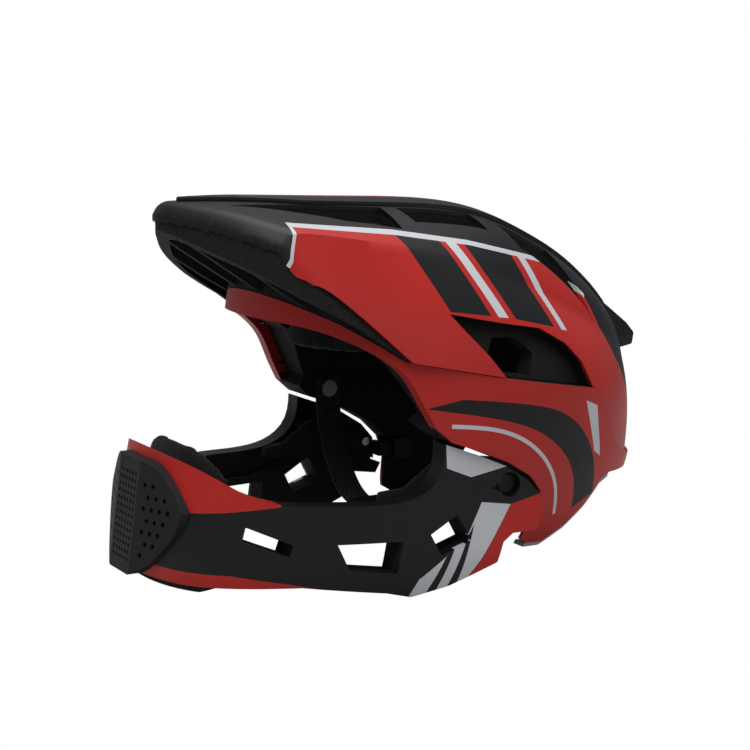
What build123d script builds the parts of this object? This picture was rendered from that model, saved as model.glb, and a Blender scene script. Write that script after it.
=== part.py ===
"""Full face helmet with a fixed visor and a chin guard that slides off forwards.

The wearer looks along -Y, +X is the wearer's left and +Z is up. The origin is at the middle
of the footprint, on the surface that the lowest edge of the chin guard touches.
"""

import os
from math import atan2, cos, pi, sin, tan

from build123d import *

os.makedirs("parts", exist_ok=True)

# Overall sizes
helmet_length = 330
helmet_height = 206
shell_half_width = 98
chin_half_width = 93
chin_reach = 160

# Upper form
form_middle_y = 10
form_middle_z = 92
form_rear = 152
form_foot_z = 44
foot_width_share = 0.93
bulge_out_share = 0.68
bulge_up_share = 0.5

# Lower form
rim_bulge_power = 2.2
ring_points = 12

# Walls and clearances
shell_wall = 2.4
rim_wall = 7
rim_width = 5
liner_gap = 0.3
seam_gap = 0.5
pad_gap = 0.3
overrun = 12

# Visor
visor_half_width = 94
visor_middle_y = -39
visor_reach = 100
visor_foam_roof = 4
visor_lip = 9
visor_rib = 5
brow_gap = 1.5
visor_inset = 1.5

# Crown band and rear spoiler
band_height = 2.6
spoiler_half_width = 17

# Top vents
channel_depth = 6

# Head cavity
cavity_half_width = 76
cavity_half_length = 98
cavity_middle_y = 32
cavity_middle_z = 92
cavity_rise = 88

# Chin guard
chin_wall = 3
chin_liner_thickness = 13
chin_ledge = 12
chamfer_start = 80
chin_rim_depth = 15.5
chamfer_run = 30
chin_gap = 1.2
mouth_half_width = 30
mouth_low = 27
mouth_high = 60

# Mouth vent cover
cover_wall = 2.5
cover_frame = 4
cover_low = 12
cover_high = 73
cover_top_reach = 157
cover_foot_reach = 165.5
cover_ridge_out = 13
cover_run = 50
cover_sweep = 17
seat_gap = 0.3
mouth_back = 130
mouth_corner = 8
centre_pitch = 3.8
centre_columns = 6
centre_rows = 13
centre_hole = 1.15
side_pitch = 6.2
side_start = 6.4
side_hole = 1.5

# Soft pads
pad_thickness = 7

# Latches
latch_y = 22
latch_z = 55.5
latch_bore = 5.6
latch_flange = 6.8
flange_wall = 2
button_gap = 0.08
button_proud = 1
latch_scoop_radius = 6.6
plate_inner = 82
plate_wall = 5.6
plate_counterbore = 3.6
button_chamfer = 0.6
tongue_inner = 73
tongue_wall = 3
tongue_start = 37
tongue_root = 4
tongue_length = 19
screw_head_radius = 2.5
screw_head_height = 1.6
socket_gap = 0.4
socket_wall = 2
socket_depth = 12
socket_y = 47
latch_tongue_low = 39
latch_tongue_high = 47

# Fit system at the nape
cradle_wall = 2.4
band_arc_radius = 60
band_arc_middle_y = 56
fit_band_height = 9
fit_band_wall = 1.6
fit_height = 42
pinion_radius = 3.6
rack_gap = 0.4
band_gap = 0.3
cradle_angle = 40
sector_steps = 8
reach_angle = 68
tail_angle = 14
nape_angle = 34
nape_rise = 12
nape_pad_thickness = 5
cradle_arm_y = 112.5
cradle_arm_wall = 2.5
cradle_arm_out = 19
cradle_arm_width = 10
cradle_top_y = 124
cradle_top_z = 86
dial_gap = 0.6
dial_flutes = 14
dial_flute_radius = 1.6
dial_radius = 15
dial_thickness = 8

# Chin strap
strap_width = 16
strap_wall = 1.6
strap_y = -2
strap_low = 24
strap_start_gap = 1
strap_top_out = 67
anchor_z = 86
anchor_radius = 5
anchor_shank = 2
anchor_head = 1.6
anchor_length = 3.4
buckle_length = 46
buckle_width = 22
buckle_height = 9
buckle_wall = 2
buckle_gap = 0.3
socket_length = 26
prong_length = 18
prong_width = 5

# Grey trim of the lobes
trim_wall = 9
trim_height = 3
trim_inset = 1


station_shares = [
    # along, crown, crease out, crease up, side out, side up
    (-0.461, 1.000, 0.700, 0.935, 0.969, 0.592),
    (-0.303, 1.000, 0.715, 0.942, 0.959, 0.592),
    (-0.182, 0.993, 0.704, 0.917, 0.949, 0.583),
    (-0.061, 0.985, 0.673, 0.879, 0.990, 0.563),
    (0.045, 0.976, 0.663, 0.830, 1.000, 0.544),
    (0.152, 0.947, 0.622, 0.772, 0.969, 0.515),
    (0.242, 0.888, 0.582, 0.704, 0.878, 0.485),
    (0.318, 0.820, 0.530, 0.640, 0.745, 0.456),
    (0.379, 0.743, 0.450, 0.590, 0.587, 0.427),
    (0.424, 0.665, 0.330, 0.545, 0.403, 0.408),
    (0.452, 0.573, 0.200, 0.500, 0.214, 0.398),
    (0.461, 0.490, 0.061, 0.462, 0.071, 0.403),
]


def drawn_in(value, middle, reach, inset):
    """A coordinate moved towards the middle, by the full inset at the reach."""
    return middle + (value - middle) * (1 - inset / reach)


def upper_form(inset):
    """Closed solid of the upper outside with its shoulder creases, drawn in by the inset."""
    with BuildPart() as form:
        for along, crown, crease_out, crease_up, side_out, side_up in station_shares:
            station = drawn_in(along * helmet_length, form_middle_y, form_rear - form_middle_y, inset)
            rise = helmet_height - form_middle_z

            def lifted(share):
                return drawn_in(share * helmet_height, form_middle_z, rise, inset)

            def spread(share):
                return drawn_in(share * shell_half_width, 0, shell_half_width, inset)

            crease = (spread(crease_out), lifted(crease_up))
            side = (spread(side_out), lifted(side_up))
            bulge = (
                crease[0] + (side[0] - crease[0]) * bulge_out_share,
                crease[1] + (side[1] - crease[1]) * bulge_up_share,
            )
            foot = (side[0] * foot_width_share, form_foot_z)
            flank = [foot, side, bulge, crease]
            with BuildSketch(Plane.XZ.offset(-station)):
                with BuildLine():
                    Spline(*flank)
                    ThreePointArc(crease, (0, lifted(crown)), (-crease[0], crease[1]))
                    Spline(*[(-out, up) for out, up in reversed(flank)])
                    Line((-foot[0], foot[1]), foot)
                make_face()
        loft()
    return form.part


ring_shares = [
    # up, half width, front reach, rear reach
    (-0.03, 0.66, 0.66, 0.78),
    (0.10, 0.80, 0.68, 0.90),
    (0.24, 0.93, 0.69, 0.99),
    (0.41, 0.985, 0.695, 1.00),
    (0.58, 0.985, 0.71, 0.99),
    (0.77, 0.885, 0.69, 0.84),
]


def lower_form(inset, tall=False):
    """Closed solid of the lower outside in level rings; the tall one runs on past the crown."""
    rear_reach = form_rear - form_middle_y
    rings = ring_shares + ([(1.05, 0.75, 0.66, 0.70)] if tall else [])
    with BuildPart() as form:
        for up, half_width, front, rear in rings:
            with BuildSketch(Plane.XY.offset(up * helmet_height)):
                with BuildLine():
                    points = []
                    for index in range(ring_points):
                        turn = 2 * pi * index / ring_points
                        across, along = cos(turn), sin(turn)
                        reach = (rear if along > 0 else front) * rear_reach - inset
                        bend = 2 / rim_bulge_power
                        out = (half_width * shell_half_width - inset) * abs(across) ** bend
                        back = reach * abs(along) ** bend
                        points.append(
                            (
                                out if across > 0 else -out,
                                form_middle_y + (back if along > 0 else -back),
                            )
                        )
                    Spline(*points, periodic=True)
                make_face()
        loft()
    return form.part


chin_outline_shares = [
    # out over the half width, forward over the reach
    (1.0, -0.42),
    (0.995, 0.06),
    (0.935, 0.36),
    (0.79, 0.66),
    (0.56, 0.885),
    (0.28, 0.965),
    (0.0, 0.985),
]
chin_level_shares = [
    # up over the height, width scale, reach scale
    (-0.03, 0.93, 0.94),
    (0.07, 1.0, 1.0),
    (0.20, 1.0, 0.995),
    (0.38, 0.97, 0.945),
    (0.52, 0.95, 0.92),
]


def chin_form(inset):
    """Closed solid of the chin guard's outside, drawn in by the inset."""
    with BuildPart() as form:
        for up, wide, deep in chin_level_shares:
            half = [
                (
                    out * (chin_half_width * wide - inset),
                    -forward * (chin_reach * deep - inset) if forward > 0 else -forward * chin_reach,
                )
                for out, forward in chin_outline_shares
            ]
            mirrored = [(-out, back) for out, back in reversed(half[:-1])]
            with BuildSketch(Plane.XY.offset(up * helmet_height)):
                with BuildLine():
                    Spline(*half, *mirrored)
                    Line(mirrored[-1], half[0])
                make_face()
        loft()
    return form.part


def cavity_form(inset):
    """The space for the head: an egg above its widest level and an oval bore below."""
    oval = (cavity_half_width - inset, cavity_half_length - inset)
    with BuildPart() as form:
        Sphere(1)
        scale(by=(oval[0], oval[1], cavity_rise - inset))
    dome = form.part.moved(Location((0, cavity_middle_y, cavity_middle_z)))
    with BuildPart() as space:
        add(dome)
        with BuildSketch(Plane.XY.offset(cavity_middle_z)):
            with Locations((0, cavity_middle_y)):
                Ellipse(*oval)
        extrude(amount=-cavity_middle_z - overrun)
    return space.part


def extruded(plane, points, amount, both=False):
    """A closed outline on a plane, run out by the amount."""
    with BuildPart() as prism:
        with BuildSketch(plane):
            with BuildLine():
                Polyline(*points, close=True)
            make_face()
        extrude(amount=amount, both=both)
    return prism.part


def side_prism(points):
    """A side outline run through the whole width."""
    return extruded(Plane.YZ, points, shell_half_width + overrun, both=True)


def plan_prism(points):
    """A plan outline of the left side and its mirror image, run up through the height."""
    with BuildPart() as prism:
        with BuildSketch(Plane.XY):
            with BuildLine():
                Polyline(*points, close=True)
            make_face()
            mirror(about=Plane.YZ)
        extrude(amount=helmet_height + overrun)
    return prism.part


def mirrored(part):
    """The same piece for the wearer's right side."""
    return part.mirror(Plane.YZ)


def write(part, label):
    """Gives the finished piece its name and writes it."""
    part.label = label
    export_step(part, f"parts/{label}.step")


def side_view(shares):
    """Points of a side view, (along, up), from shares of the length and the height."""
    return [(along * helmet_length, up * helmet_height) for along, up in shares]


def top_view(shares):
    """Points of a top view, (out, along), from shares of the half width and the length."""
    return [(out * shell_half_width, along * helmet_length) for out, along in shares]


def front_view(shares):
    """Points of a front view, (out, up), from shares of the half width and the height."""
    return [(out * shell_half_width, up * helmet_height) for out, up in shares]


# Side outlines that the pieces share
top = helmet_height + overrun
back = helmet_length / 2 + overrun
front = -back
visor_edge_shares = [
    (-0.461, 0.99), (-0.385, 0.971), (-0.33, 0.917), (-0.273, 0.84),
    (-0.23, 0.777), (-0.179, 0.704), (-0.118, 0.612),
]
seam_shares = [(0.042, 0.558), (0.252, 0.495), (0.3, 0.388), (0.327, 0.32), (0.391, 0.267), (0.54, 0.255)]
brow_shares = [(-0.333, 0.825), (-0.2, 0.704), (-0.118, 0.612)]
eyeport_shares = [
    (-0.333, 0.694), (-0.255, 0.694), (-0.212, 0.675), (-0.164, 0.636),
    (-0.121, 0.578), (-0.094, 0.5), (-0.073, 0.437),
]
arch_shares = [
    (-0.045, 0.398), (0.012, 0.364), (0.061, 0.33), (0.106, 0.286),
    (0.133, 0.238), (0.139, 0.184), (0.124, 0.117), (0.121, 0.097),
]
lobe_shares = [
    (0.139, 0.078), (0.176, 0.073), (0.224, 0.112), (0.261, 0.165),
    (0.291, 0.228), (0.315, 0.24), (0.394, 0.228), (0.54, 0.22),
]
vent_shares = [
    (-0.039, 0.723), (0.061, 0.689), (0.142, 0.665), (0.197, 0.617), (0.227, 0.568),
    (0.252, 0.48), (0.055, 0.54), (0.021, 0.612), (-0.015, 0.675),
]
visor_under_shares = [(-0.53, 1.01), (-0.424, 0.935), (-0.27, 0.77), (-0.2, 0.704), (-0.118, 0.612), (0, 0.57)]
vent_hole_shares = [(0.03, 0.60), (0.06, 0.56), (0.115, 0.545), (0.13, 0.60), (0.10, 0.645), (0.05, 0.65)]
spoiler_shares = [
    (0.37, 0.73), (0.43, 0.66), (0.475, 0.605), (0.492, 0.575), (0.488, 0.54), (0.45, 0.53), (0.40, 0.50),
]

# Plan outline of the visor's left side, out over its half width and forward over its reach
visor_plan_shares = [(1.0, 0.0), (0.92, 0.36), (0.79, 0.59), (0.50, 0.805), (0.26, 0.92), (0.0, 1.005)]

# Top outlines of the left side, each mirrored
channel_shares = [
    [(0.23, -0.33), (0.40, -0.235), (0.49, -0.16), (0.51, -0.06), (0.23, -0.055), (0.21, -0.19)],
    [(0.23, -0.025), (0.42, -0.02), (0.38, 0.13), (0.22, 0.12)],
    [(0.25, 0.17), (0.43, 0.185), (0.52, 0.32), (0.41, 0.29), (0.26, 0.27)],
]
slot_shares = [
    [(0.27, -0.17), (0.44, -0.16), (0.48, -0.075), (0.26, -0.07)],
    [(0.26, -0.005), (0.38, -0.005), (0.35, 0.10), (0.25, 0.10)],
    [(0.28, 0.19), (0.40, 0.205), (0.41, 0.26), (0.28, 0.25)],
]
band_shares = [(0, -0.39), (0.08, -0.31), (0.205, -0.19), (0.20, 0.16), (0.17, 0.40), (0.16, 0.5), (0, 0.5)]
rib_shares = [
    # out at the lip, out at the brow
    (0.16, 0.12), (0.54, 0.46), (1.3, 1.2),
]

seam_line = side_view(seam_shares)
brow_line = side_view(brow_shares)
lower_edge_line = side_view(eyeport_shares + arch_shares + lobe_shares)
upper_region = side_prism(side_view(visor_edge_shares) + seam_line + [(back, top), (front, top)])
liner_seam = brow_line + seam_line
lower_region = side_prism([(along, up - seam_gap) for along, up in liner_seam] + lower_edge_line[::-1])



def visor_block(inset):
    """The visor's plan outline, drawn in by the inset, run up through the height and on to the rear."""
    nose = [
        (
            drawn_in(out * visor_half_width, 0, visor_half_width, inset),
            drawn_in(visor_middle_y - along * visor_reach, visor_middle_y, visor_reach, inset),
        )
        for out, along in visor_plan_shares
    ]
    wide = shell_half_width + overrun
    with BuildPart() as block:
        with BuildSketch(Plane.XY):
            with BuildLine():
                Spline(*nose, *[(-out, along) for out, along in reversed(nose[:-1])])
                Polyline(
                    nose[0], (wide, visor_middle_y), (wide, back), (-wide, back), (-wide, visor_middle_y),
                    (-nose[0][0], nose[0][1]),
                )
            make_face()
        extrude(amount=top)
    return block.part


with BuildPart() as top_channels:
    for shares in channel_shares:
        add(plan_prism(top_view(shares)))

with BuildPart() as top_slots:
    for shares in slot_shares:
        add(plan_prism(top_view(shares)))

side_vent = side_prism(side_view(vent_shares))
vent_hole = side_prism(side_view(vent_hole_shares))

upper_outside = upper_form(0)
upper_blank = upper_form(shell_wall)
liner_outside = upper_form(shell_wall + liner_gap)
channel_floor = upper_form(shell_wall + liner_gap + channel_depth)
lower_outside = lower_form(0)
lower_liner_outside = lower_form(shell_wall + liner_gap)
brow_wall = lower_form(0, tall=True)
cavity = cavity_form(0)

# Upper shell with the visor, the raised crown band and the rear spoiler
with BuildPart() as crown_band:
    add(upper_form(-band_height))
    add(upper_outside, mode=Mode.SUBTRACT)
    add(plan_prism(top_view(band_shares)), mode=Mode.INTERSECT)
    above_middle = [(front, form_middle_z), (back, form_middle_z), (back, top), (front, top)]
    add(side_prism(above_middle), mode=Mode.INTERSECT)

with BuildPart() as spoiler:
    add(extruded(Plane.YZ, side_view(spoiler_shares), spoiler_half_width, both=True))
    add(upper_blank, mode=Mode.SUBTRACT)

with BuildPart() as upper_trim:
    add(upper_region)
    add(visor_block(0), mode=Mode.INTERSECT)
    add(side_vent, mode=Mode.SUBTRACT)
    add(top_channels.part, mode=Mode.SUBTRACT)

with BuildPart() as upper_shell:
    add(upper_outside)
    add(upper_blank, mode=Mode.SUBTRACT)
    add(upper_trim.part, mode=Mode.INTERSECT)
    add(crown_band.part)
    add(spoiler.part)
write(upper_shell.part, "upper_shell")

# Lower shell, thin all over but for the rim round the eyeport
rim_line = side_view(eyeport_shares)
rim_strip = side_prism(rim_line + [(along + rim_width, up + rim_width) for along, up in rim_line[::-1]])
with BuildPart() as lower_hollow:
    add(lower_form(shell_wall))
    add(rim_strip, mode=Mode.SUBTRACT)

with BuildPart() as lower_shell:
    add(lower_outside)
    add(lower_hollow.part, mode=Mode.SUBTRACT)
    add(lower_form(rim_wall), mode=Mode.SUBTRACT)
    add(lower_region, mode=Mode.INTERSECT)
write(lower_shell.part, "lower_shell")

# Upper liner of foam, under the shell, with its vents
with BuildPart() as liner_trim:
    add(side_prism(liner_seam + [(back, top), (front, top)]))
    add(vent_hole, mode=Mode.SUBTRACT)
    add(top_slots.part, mode=Mode.SUBTRACT)

with BuildPart() as vent_pockets:
    add(side_vent)
    add(top_channels.part)
    add(channel_floor, mode=Mode.SUBTRACT)

with BuildPart() as upper_liner:
    add(liner_outside)
    add(brow_wall, mode=Mode.INTERSECT)
    add(liner_trim.part, mode=Mode.INTERSECT)
    add(cavity, mode=Mode.SUBTRACT)
    add(vent_pockets.part, mode=Mode.SUBTRACT)
write(upper_liner.part, "upper_liner")

# Foam under the visor, with ribs between deep channels
with BuildPart() as visor_channels:
    lip_y = visor_middle_y - visor_reach + visor_lip
    brow_y = visor_middle_y
    lanes = [(-rib_shares[0][0], -rib_shares[0][1]), *rib_shares]
    for (lip_in, brow_in), (lip_out, brow_out) in zip(lanes, lanes[1:]):
        for side in (1, -1):
            with BuildSketch(Plane.XY):
                with BuildLine():
                    half_rib = visor_rib / 2
                    Polyline(
                        (side * (lip_in * shell_half_width + half_rib), lip_y),
                        (side * (lip_out * shell_half_width - half_rib), lip_y),
                        (side * (brow_out * shell_half_width - half_rib), brow_y),
                        (side * (brow_in * shell_half_width + half_rib), brow_y),
                        close=True,
                    )
                make_face()
            extrude(amount=top)
    add(visor_block(visor_lip), mode=Mode.INTERSECT)

with BuildPart() as channel_tool:
    add(visor_channels.part)
    add(upper_form(shell_wall + liner_gap + visor_foam_roof), mode=Mode.INTERSECT)

with BuildPart() as visor_foam:
    add(liner_outside)
    add(lower_form(-brow_gap, tall=True), mode=Mode.SUBTRACT)
    add(visor_block(visor_inset), mode=Mode.INTERSECT)
    add(side_prism(side_view(visor_under_shares) + [(0, top), (front, top)]), mode=Mode.INTERSECT)
    add(channel_tool.part, mode=Mode.SUBTRACT)
write(visor_foam.part, "visor_foam")

# Lower liner of foam, inside the lower shell and the lobes
socket_middle_z = (latch_tongue_low + latch_tongue_high) / 2
socket_half = (latch_tongue_high - latch_tongue_low) / 2 + socket_wall + 2 * socket_gap
socket_box = [
    (along, socket_middle_z + side * socket_half)
    for along, side in ((socket_y - overrun, -1), (socket_y + socket_depth + pad_gap, -1),
                        (socket_y + socket_depth + pad_gap, 1), (socket_y - overrun, 1))
]
with BuildPart() as lower_liner_trim:
    add(side_prism([(along, up - seam_gap) for along, up in liner_seam] + lower_edge_line[::-1]))
    add(rim_strip, mode=Mode.SUBTRACT)
    add(side_prism(socket_box), mode=Mode.SUBTRACT)

with BuildPart() as lower_liner:
    add(lower_liner_outside)
    add(lower_liner_trim.part, mode=Mode.INTERSECT)
    add(cavity, mode=Mode.SUBTRACT)
brow_block, lobe_block = lower_liner.solids().sort_by(Axis.Y)
write(brow_block, "brow_foam")
write(lobe_block, "lower_liner")

# Chin guard shell, with a sloped ledge below the eyeport, its vents and the latch scoops
rim_shares = [
    (-0.53, 0.383), (-0.455, 0.383), (-0.424, 0.355), (-0.367, 0.296), (-0.318, 0.267),
    (-0.239, 0.257), (-0.152, 0.252), (-0.091, 0.272), (-0.067, 0.301), (-0.055, 0.34), (-0.052, 0.392),
]
arm_top_shares = [(0.012, 0.353), (0.06, 0.319), (0.102, 0.276), (0.127, 0.231), (0.132, 0.187), (0.116, 0.141)]
arm_low_shares = [
    (0.07, 0.141), (0.052, 0.121), (0.042, 0.068), (-0.045, 0.019), (-0.109, 0.0),
    (-0.152, 0.019), (-0.288, 0.053), (-0.403, 0.058), (-0.53, 0.058),
]
jaw_vent_shares = [
    [(-0.376, 0.18), (-0.309, 0.136), (-0.303, 0.165), (-0.37, 0.214)],
    [(-0.236, 0.16), (-0.13, 0.155), (-0.139, 0.073), (-0.218, 0.092)],
    [(-0.082, 0.165), (-0.033, 0.209), (-0.009, 0.136), (-0.064, 0.107)],
]
scoop_shares = [(0.03, 0.265), (0.07, 0.296), (0.08, 0.27), (0.07, 0.245)]
latch_pocket_shares = [(0.02, 0.238), (0.118, 0.165), (0.2, 0.165), (0.2, 0.45), (0.02, 0.45)]
chin_outside = chin_form(0)
chin_inside = chin_form(chin_wall)
rim_line_chin = side_view(rim_shares)

with BuildPart() as jaw_vents:
    for shares in jaw_vent_shares:
        add(side_prism(side_view(shares)))

with BuildPart() as latch_scoops:
    add(side_prism(side_view(scoop_shares)))
    with BuildSketch(Plane.YZ):
        with Locations((latch_y, latch_z)):
            Circle(latch_scoop_radius)
    extrude(amount=shell_half_width, both=True)

with BuildPart() as mouth_opening:
    with BuildSketch(Plane.XZ):
        with Locations((0, (mouth_low + mouth_high) / 2)):
            RectangleRounded(2 * mouth_half_width, mouth_high - mouth_low, mouth_corner)
    extrude(amount=helmet_length)

with BuildPart() as ledge_cut:
    ledge_line = rim_line_chin[2:10]
    for out, drop in ((chamfer_start, 0), (chamfer_start + chamfer_run, chamfer_run)):
        with BuildSketch(Plane.YZ.offset(out)):
            with BuildLine():
                lowered = [(along, up - drop) for along, up in ledge_line]
                Polyline(*lowered, (lowered[-1][0], top), (lowered[0][0], top), close=True)
            make_face()
    loft(ruled=True)

with BuildPart() as chin_trim:
    add(side_prism(side_view(rim_shares + arm_top_shares + arm_low_shares)))
    add(jaw_vents.part, mode=Mode.SUBTRACT)
    add(latch_scoops.part, mode=Mode.SUBTRACT)
    add(mouth_opening.part, mode=Mode.SUBTRACT)
    add(ledge_cut.part, mode=Mode.SUBTRACT)
    add(mirrored(ledge_cut.part), mode=Mode.SUBTRACT)

# Below its rim the shell is thin, and at the rim it is as thick as the ledge is wide
with BuildPart() as thin_hollow:
    add(chin_inside)
    add(side_prism(rim_line_chin + [(along, up - chin_rim_depth) for along, up in rim_line_chin[::-1]]),
        mode=Mode.SUBTRACT)

with BuildPart() as chin_shell:
    add(chin_outside)
    add(thin_hollow.part, mode=Mode.SUBTRACT)
    add(chin_form(chin_ledge), mode=Mode.SUBTRACT)
    add(chin_trim.part, mode=Mode.INTERSECT)
write(chin_shell.part, "chin_shell")

# Foam inside the chin guard
chin_low_foam_shares = arm_low_shares[:6] + [
    (-0.288, 0.053), (-0.40, 0.05), (-0.42, 0.032), (-0.53, 0.032),
]
shrunk_rim = [(along, up - chin_rim_depth - liner_gap) for along, up in rim_line_chin]
with BuildPart() as chin_liner_trim:
    add(side_prism(shrunk_rim + [(along - chin_gap, up - chin_gap) for along, up in side_view(arm_top_shares)]
                   + [(along - chin_gap, up + chin_gap) for along, up in side_view(chin_low_foam_shares)]))
    add(jaw_vents.part, mode=Mode.SUBTRACT)
    add(mouth_opening.part, mode=Mode.SUBTRACT)
    add(side_prism(side_view(latch_pocket_shares)), mode=Mode.SUBTRACT)

with BuildPart() as chin_liner:
    add(chin_form(chin_wall + liner_gap))
    add(chin_form(chin_wall + liner_gap + chin_liner_thickness), mode=Mode.SUBTRACT)
    add(chin_liner_trim.part, mode=Mode.INTERSECT)
write(chin_liner.part, "chin_liner")

# Faceted mouth vent cover: a mask with a pointed corner at each side and pierced panels
cover_outline_shares = [
    # out over the half width and up over the height of the left side, from the top middle round to the bottom
    (0.15, 0.354), (0.28, 0.334), (0.39, 0.291), (0.47, 0.243),
    (0.44, 0.194), (0.35, 0.136), (0.22, 0.083), (0.12, 0.06),
]
side_row_counts = [1, 2, 3, 3, 4, 3, 2]


def cover_block(back_off):
    """The three flat faces of the cover's front as a solid block that leans back, moved back."""
    ridge = (cover_ridge_out, back_off - cover_foot)
    corner = (cover_ridge_out + cover_run, back_off - cover_foot + cover_sweep)
    with BuildPart() as block:
        with BuildSketch(Plane.XY.offset(cover_low - overrun)):
            with BuildLine():
                Polyline(
                    corner, ridge, (-ridge[0], ridge[1]), (-corner[0], corner[1]),
                    (-corner[0], -mouth_back), (corner[0], -mouth_back), close=True,
                )
            make_face()
        extrude(amount=cover_rise / cos(lean), dir=(0, sin(lean), cos(lean)))
    return block.part


def cover_outline(inset):
    """The cover's outline in front view, drawn in by the inset, run back through the guard."""
    points = [
        (drawn_in(out, 0, cover_corner_out, inset), drawn_in(up, cover_middle, cover_middle - cover_low, inset))
        for out, up in front_view(cover_outline_shares)
    ]
    with BuildPart() as prism:
        with BuildSketch(Plane.XZ):
            with BuildLine():
                Spline(*points[:4])
                Spline(*points[3:])
                Line(points[-1], (-points[-1][0], points[-1][1]))
                Spline(*[(-out, up) for out, up in points[3:][::-1]])
                Spline(*[(-out, up) for out, up in points[:4][::-1]])
                Line((-points[0][0], points[0][1]), points[0])
            make_face()
        extrude(amount=helmet_length)
    return prism.part


cover_middle = (cover_low + cover_high) / 2
cover_corner_out = cover_outline_shares[3][0] * shell_half_width
lean = atan2(cover_foot_reach - cover_top_reach, cover_high - cover_low)
cover_foot = cover_foot_reach + overrun * tan(lean)
cover_rise = cover_high - cover_low + 2 * overrun
with BuildPart() as cover_hollow:
    add(cover_block(cover_wall))
    add(cover_outline(cover_frame), mode=Mode.INTERSECT)

with BuildPart() as mouth_vent:
    add(cover_block(0))
    add(cover_outline(0), mode=Mode.INTERSECT)
    add(chin_form(-seat_gap), mode=Mode.SUBTRACT)
    add(cover_hollow.part, mode=Mode.SUBTRACT)
    middle_reach = (cover_top_reach + cover_foot_reach) / 2
    facing = (0, -cos(lean), sin(lean))
    with BuildSketch(Plane(origin=(0, -middle_reach, cover_middle), x_dir=(1, 0, 0), z_dir=facing)):
        with GridLocations(centre_pitch, centre_pitch, centre_columns, centre_rows):
            RegularPolygon(centre_hole, 6)
    extrude(amount=cover_wall + seat_gap, both=True, mode=Mode.SUBTRACT)
    for side in (1, -1):
        ridge_middle = Vector(side * cover_ridge_out, -middle_reach, cover_middle)
        across = Vector(side * cover_run, cover_sweep, 0).normalized()
        upward = Vector(0, sin(lean), cos(lean))
        panel = Plane(origin=ridge_middle, x_dir=across, z_dir=across.cross(upward))
        rows = len(side_row_counts)
        places = [
            (side_start + side_pitch * (column + row % 2 / 2), side_pitch * (row - (rows - 1) / 2))
            for row, count in enumerate(side_row_counts)
            for column in range(count)
        ]
        with BuildSketch(panel):
            with Locations(*places):
                RegularPolygon(side_hole, 6)
        extrude(amount=cover_wall + seat_gap, both=True, mode=Mode.SUBTRACT)
write(mouth_vent.part, "mouth_vent")

# Soft pads of the chin guard
pad_outside = chin_form(chin_wall + liner_gap + chin_liner_thickness + pad_gap)
pad_inside = chin_form(chin_wall + liner_gap + chin_liner_thickness + pad_gap + pad_thickness)
jaw_pad_shares = [
    (-0.14, 0.222), (0.055, 0.222), (0.07, 0.29), (-0.04, 0.33), (-0.09, 0.275), (-0.14, 0.262),
]
chin_pad_shares = [
    (0.44, 0.315), (0.34, 0.355), (0.20, 0.382), (0, 0.39), (-0.20, 0.382), (-0.34, 0.355), (-0.44, 0.315),
    (-0.44, 0.29), (0.44, 0.29),
]
with BuildPart() as jaw_pad_left:
    add(pad_outside)
    add(pad_inside, mode=Mode.SUBTRACT)
    add(extruded(Plane.YZ, side_view(jaw_pad_shares), shell_half_width), mode=Mode.INTERSECT)
write(jaw_pad_left.part, "jaw_pad_left")
write(mirrored(jaw_pad_left.part), "jaw_pad_right")

with BuildPart() as chin_pad:
    add(chin_form(chin_ledge + pad_gap))
    add(chin_form(chin_ledge + pad_gap + pad_thickness), mode=Mode.SUBTRACT)
    add(extruded(Plane.XZ, front_view(chin_pad_shares), helmet_length), mode=Mode.INTERSECT)
write(chin_pad.part, "chin_pad")

# Latch plates and buttons of the chin guard, and their sockets in the lobes
tongue_middle = (latch_tongue_low + latch_tongue_high) / 2
tongue_height = latch_tongue_high - latch_tongue_low
plate_screw_shares = [(0.037, 0.262), (0.097, 0.23)]
plate_shares = [
    (0.024, 0.243), (0.115, 0.175), (0.115, 0.223), (0.088, 0.28), (0.07, 0.302), (0.04, 0.312), (0.024, 0.29),
]
with BuildPart() as latch_plate:
    add(extruded(Plane.YZ.offset(plate_inner), side_view(plate_shares), plate_wall))
    for start, length, wall in (
        (tongue_start, tongue_root, plate_inner + tongue_wall - tongue_inner),
        (tongue_start, tongue_length, tongue_wall),
    ):
        with BuildSketch(Plane.YZ.offset(tongue_inner)):
            with Locations((start + length / 2, tongue_middle)):
                Rectangle(length, tongue_height)
        extrude(amount=wall)
    with BuildSketch(Plane.YZ.offset(plate_inner)):
        with Locations((latch_y, latch_z)):
            Circle(latch_bore)
    extrude(amount=plate_wall, mode=Mode.SUBTRACT)
    with BuildSketch(Plane.YZ.offset(plate_inner)):
        with Locations((latch_y, latch_z)):
            Circle(latch_flange + button_gap)
    extrude(amount=plate_counterbore, mode=Mode.SUBTRACT)
write(latch_plate.part, "latch_plate_left")
write(mirrored(latch_plate.part), "latch_plate_right")

button_floor = plate_inner + plate_counterbore - button_gap
with BuildPart() as latch_button:
    with BuildSketch(Plane.YZ.offset(button_floor - flange_wall)):
        with Locations((latch_y, latch_z)):
            Circle(latch_flange)
    extrude(amount=flange_wall)
    with BuildSketch(Plane.YZ.offset(button_floor)):
        with Locations((latch_y, latch_z)):
            Circle(latch_bore - button_gap)
    extrude(amount=button_proud + plate_wall - plate_counterbore)
    chamfer(latch_button.faces().sort_by(Axis.X)[-1].edges(), button_chamfer)
write(latch_button.part, "latch_button_left")
write(mirrored(latch_button.part), "latch_button_right")

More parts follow.
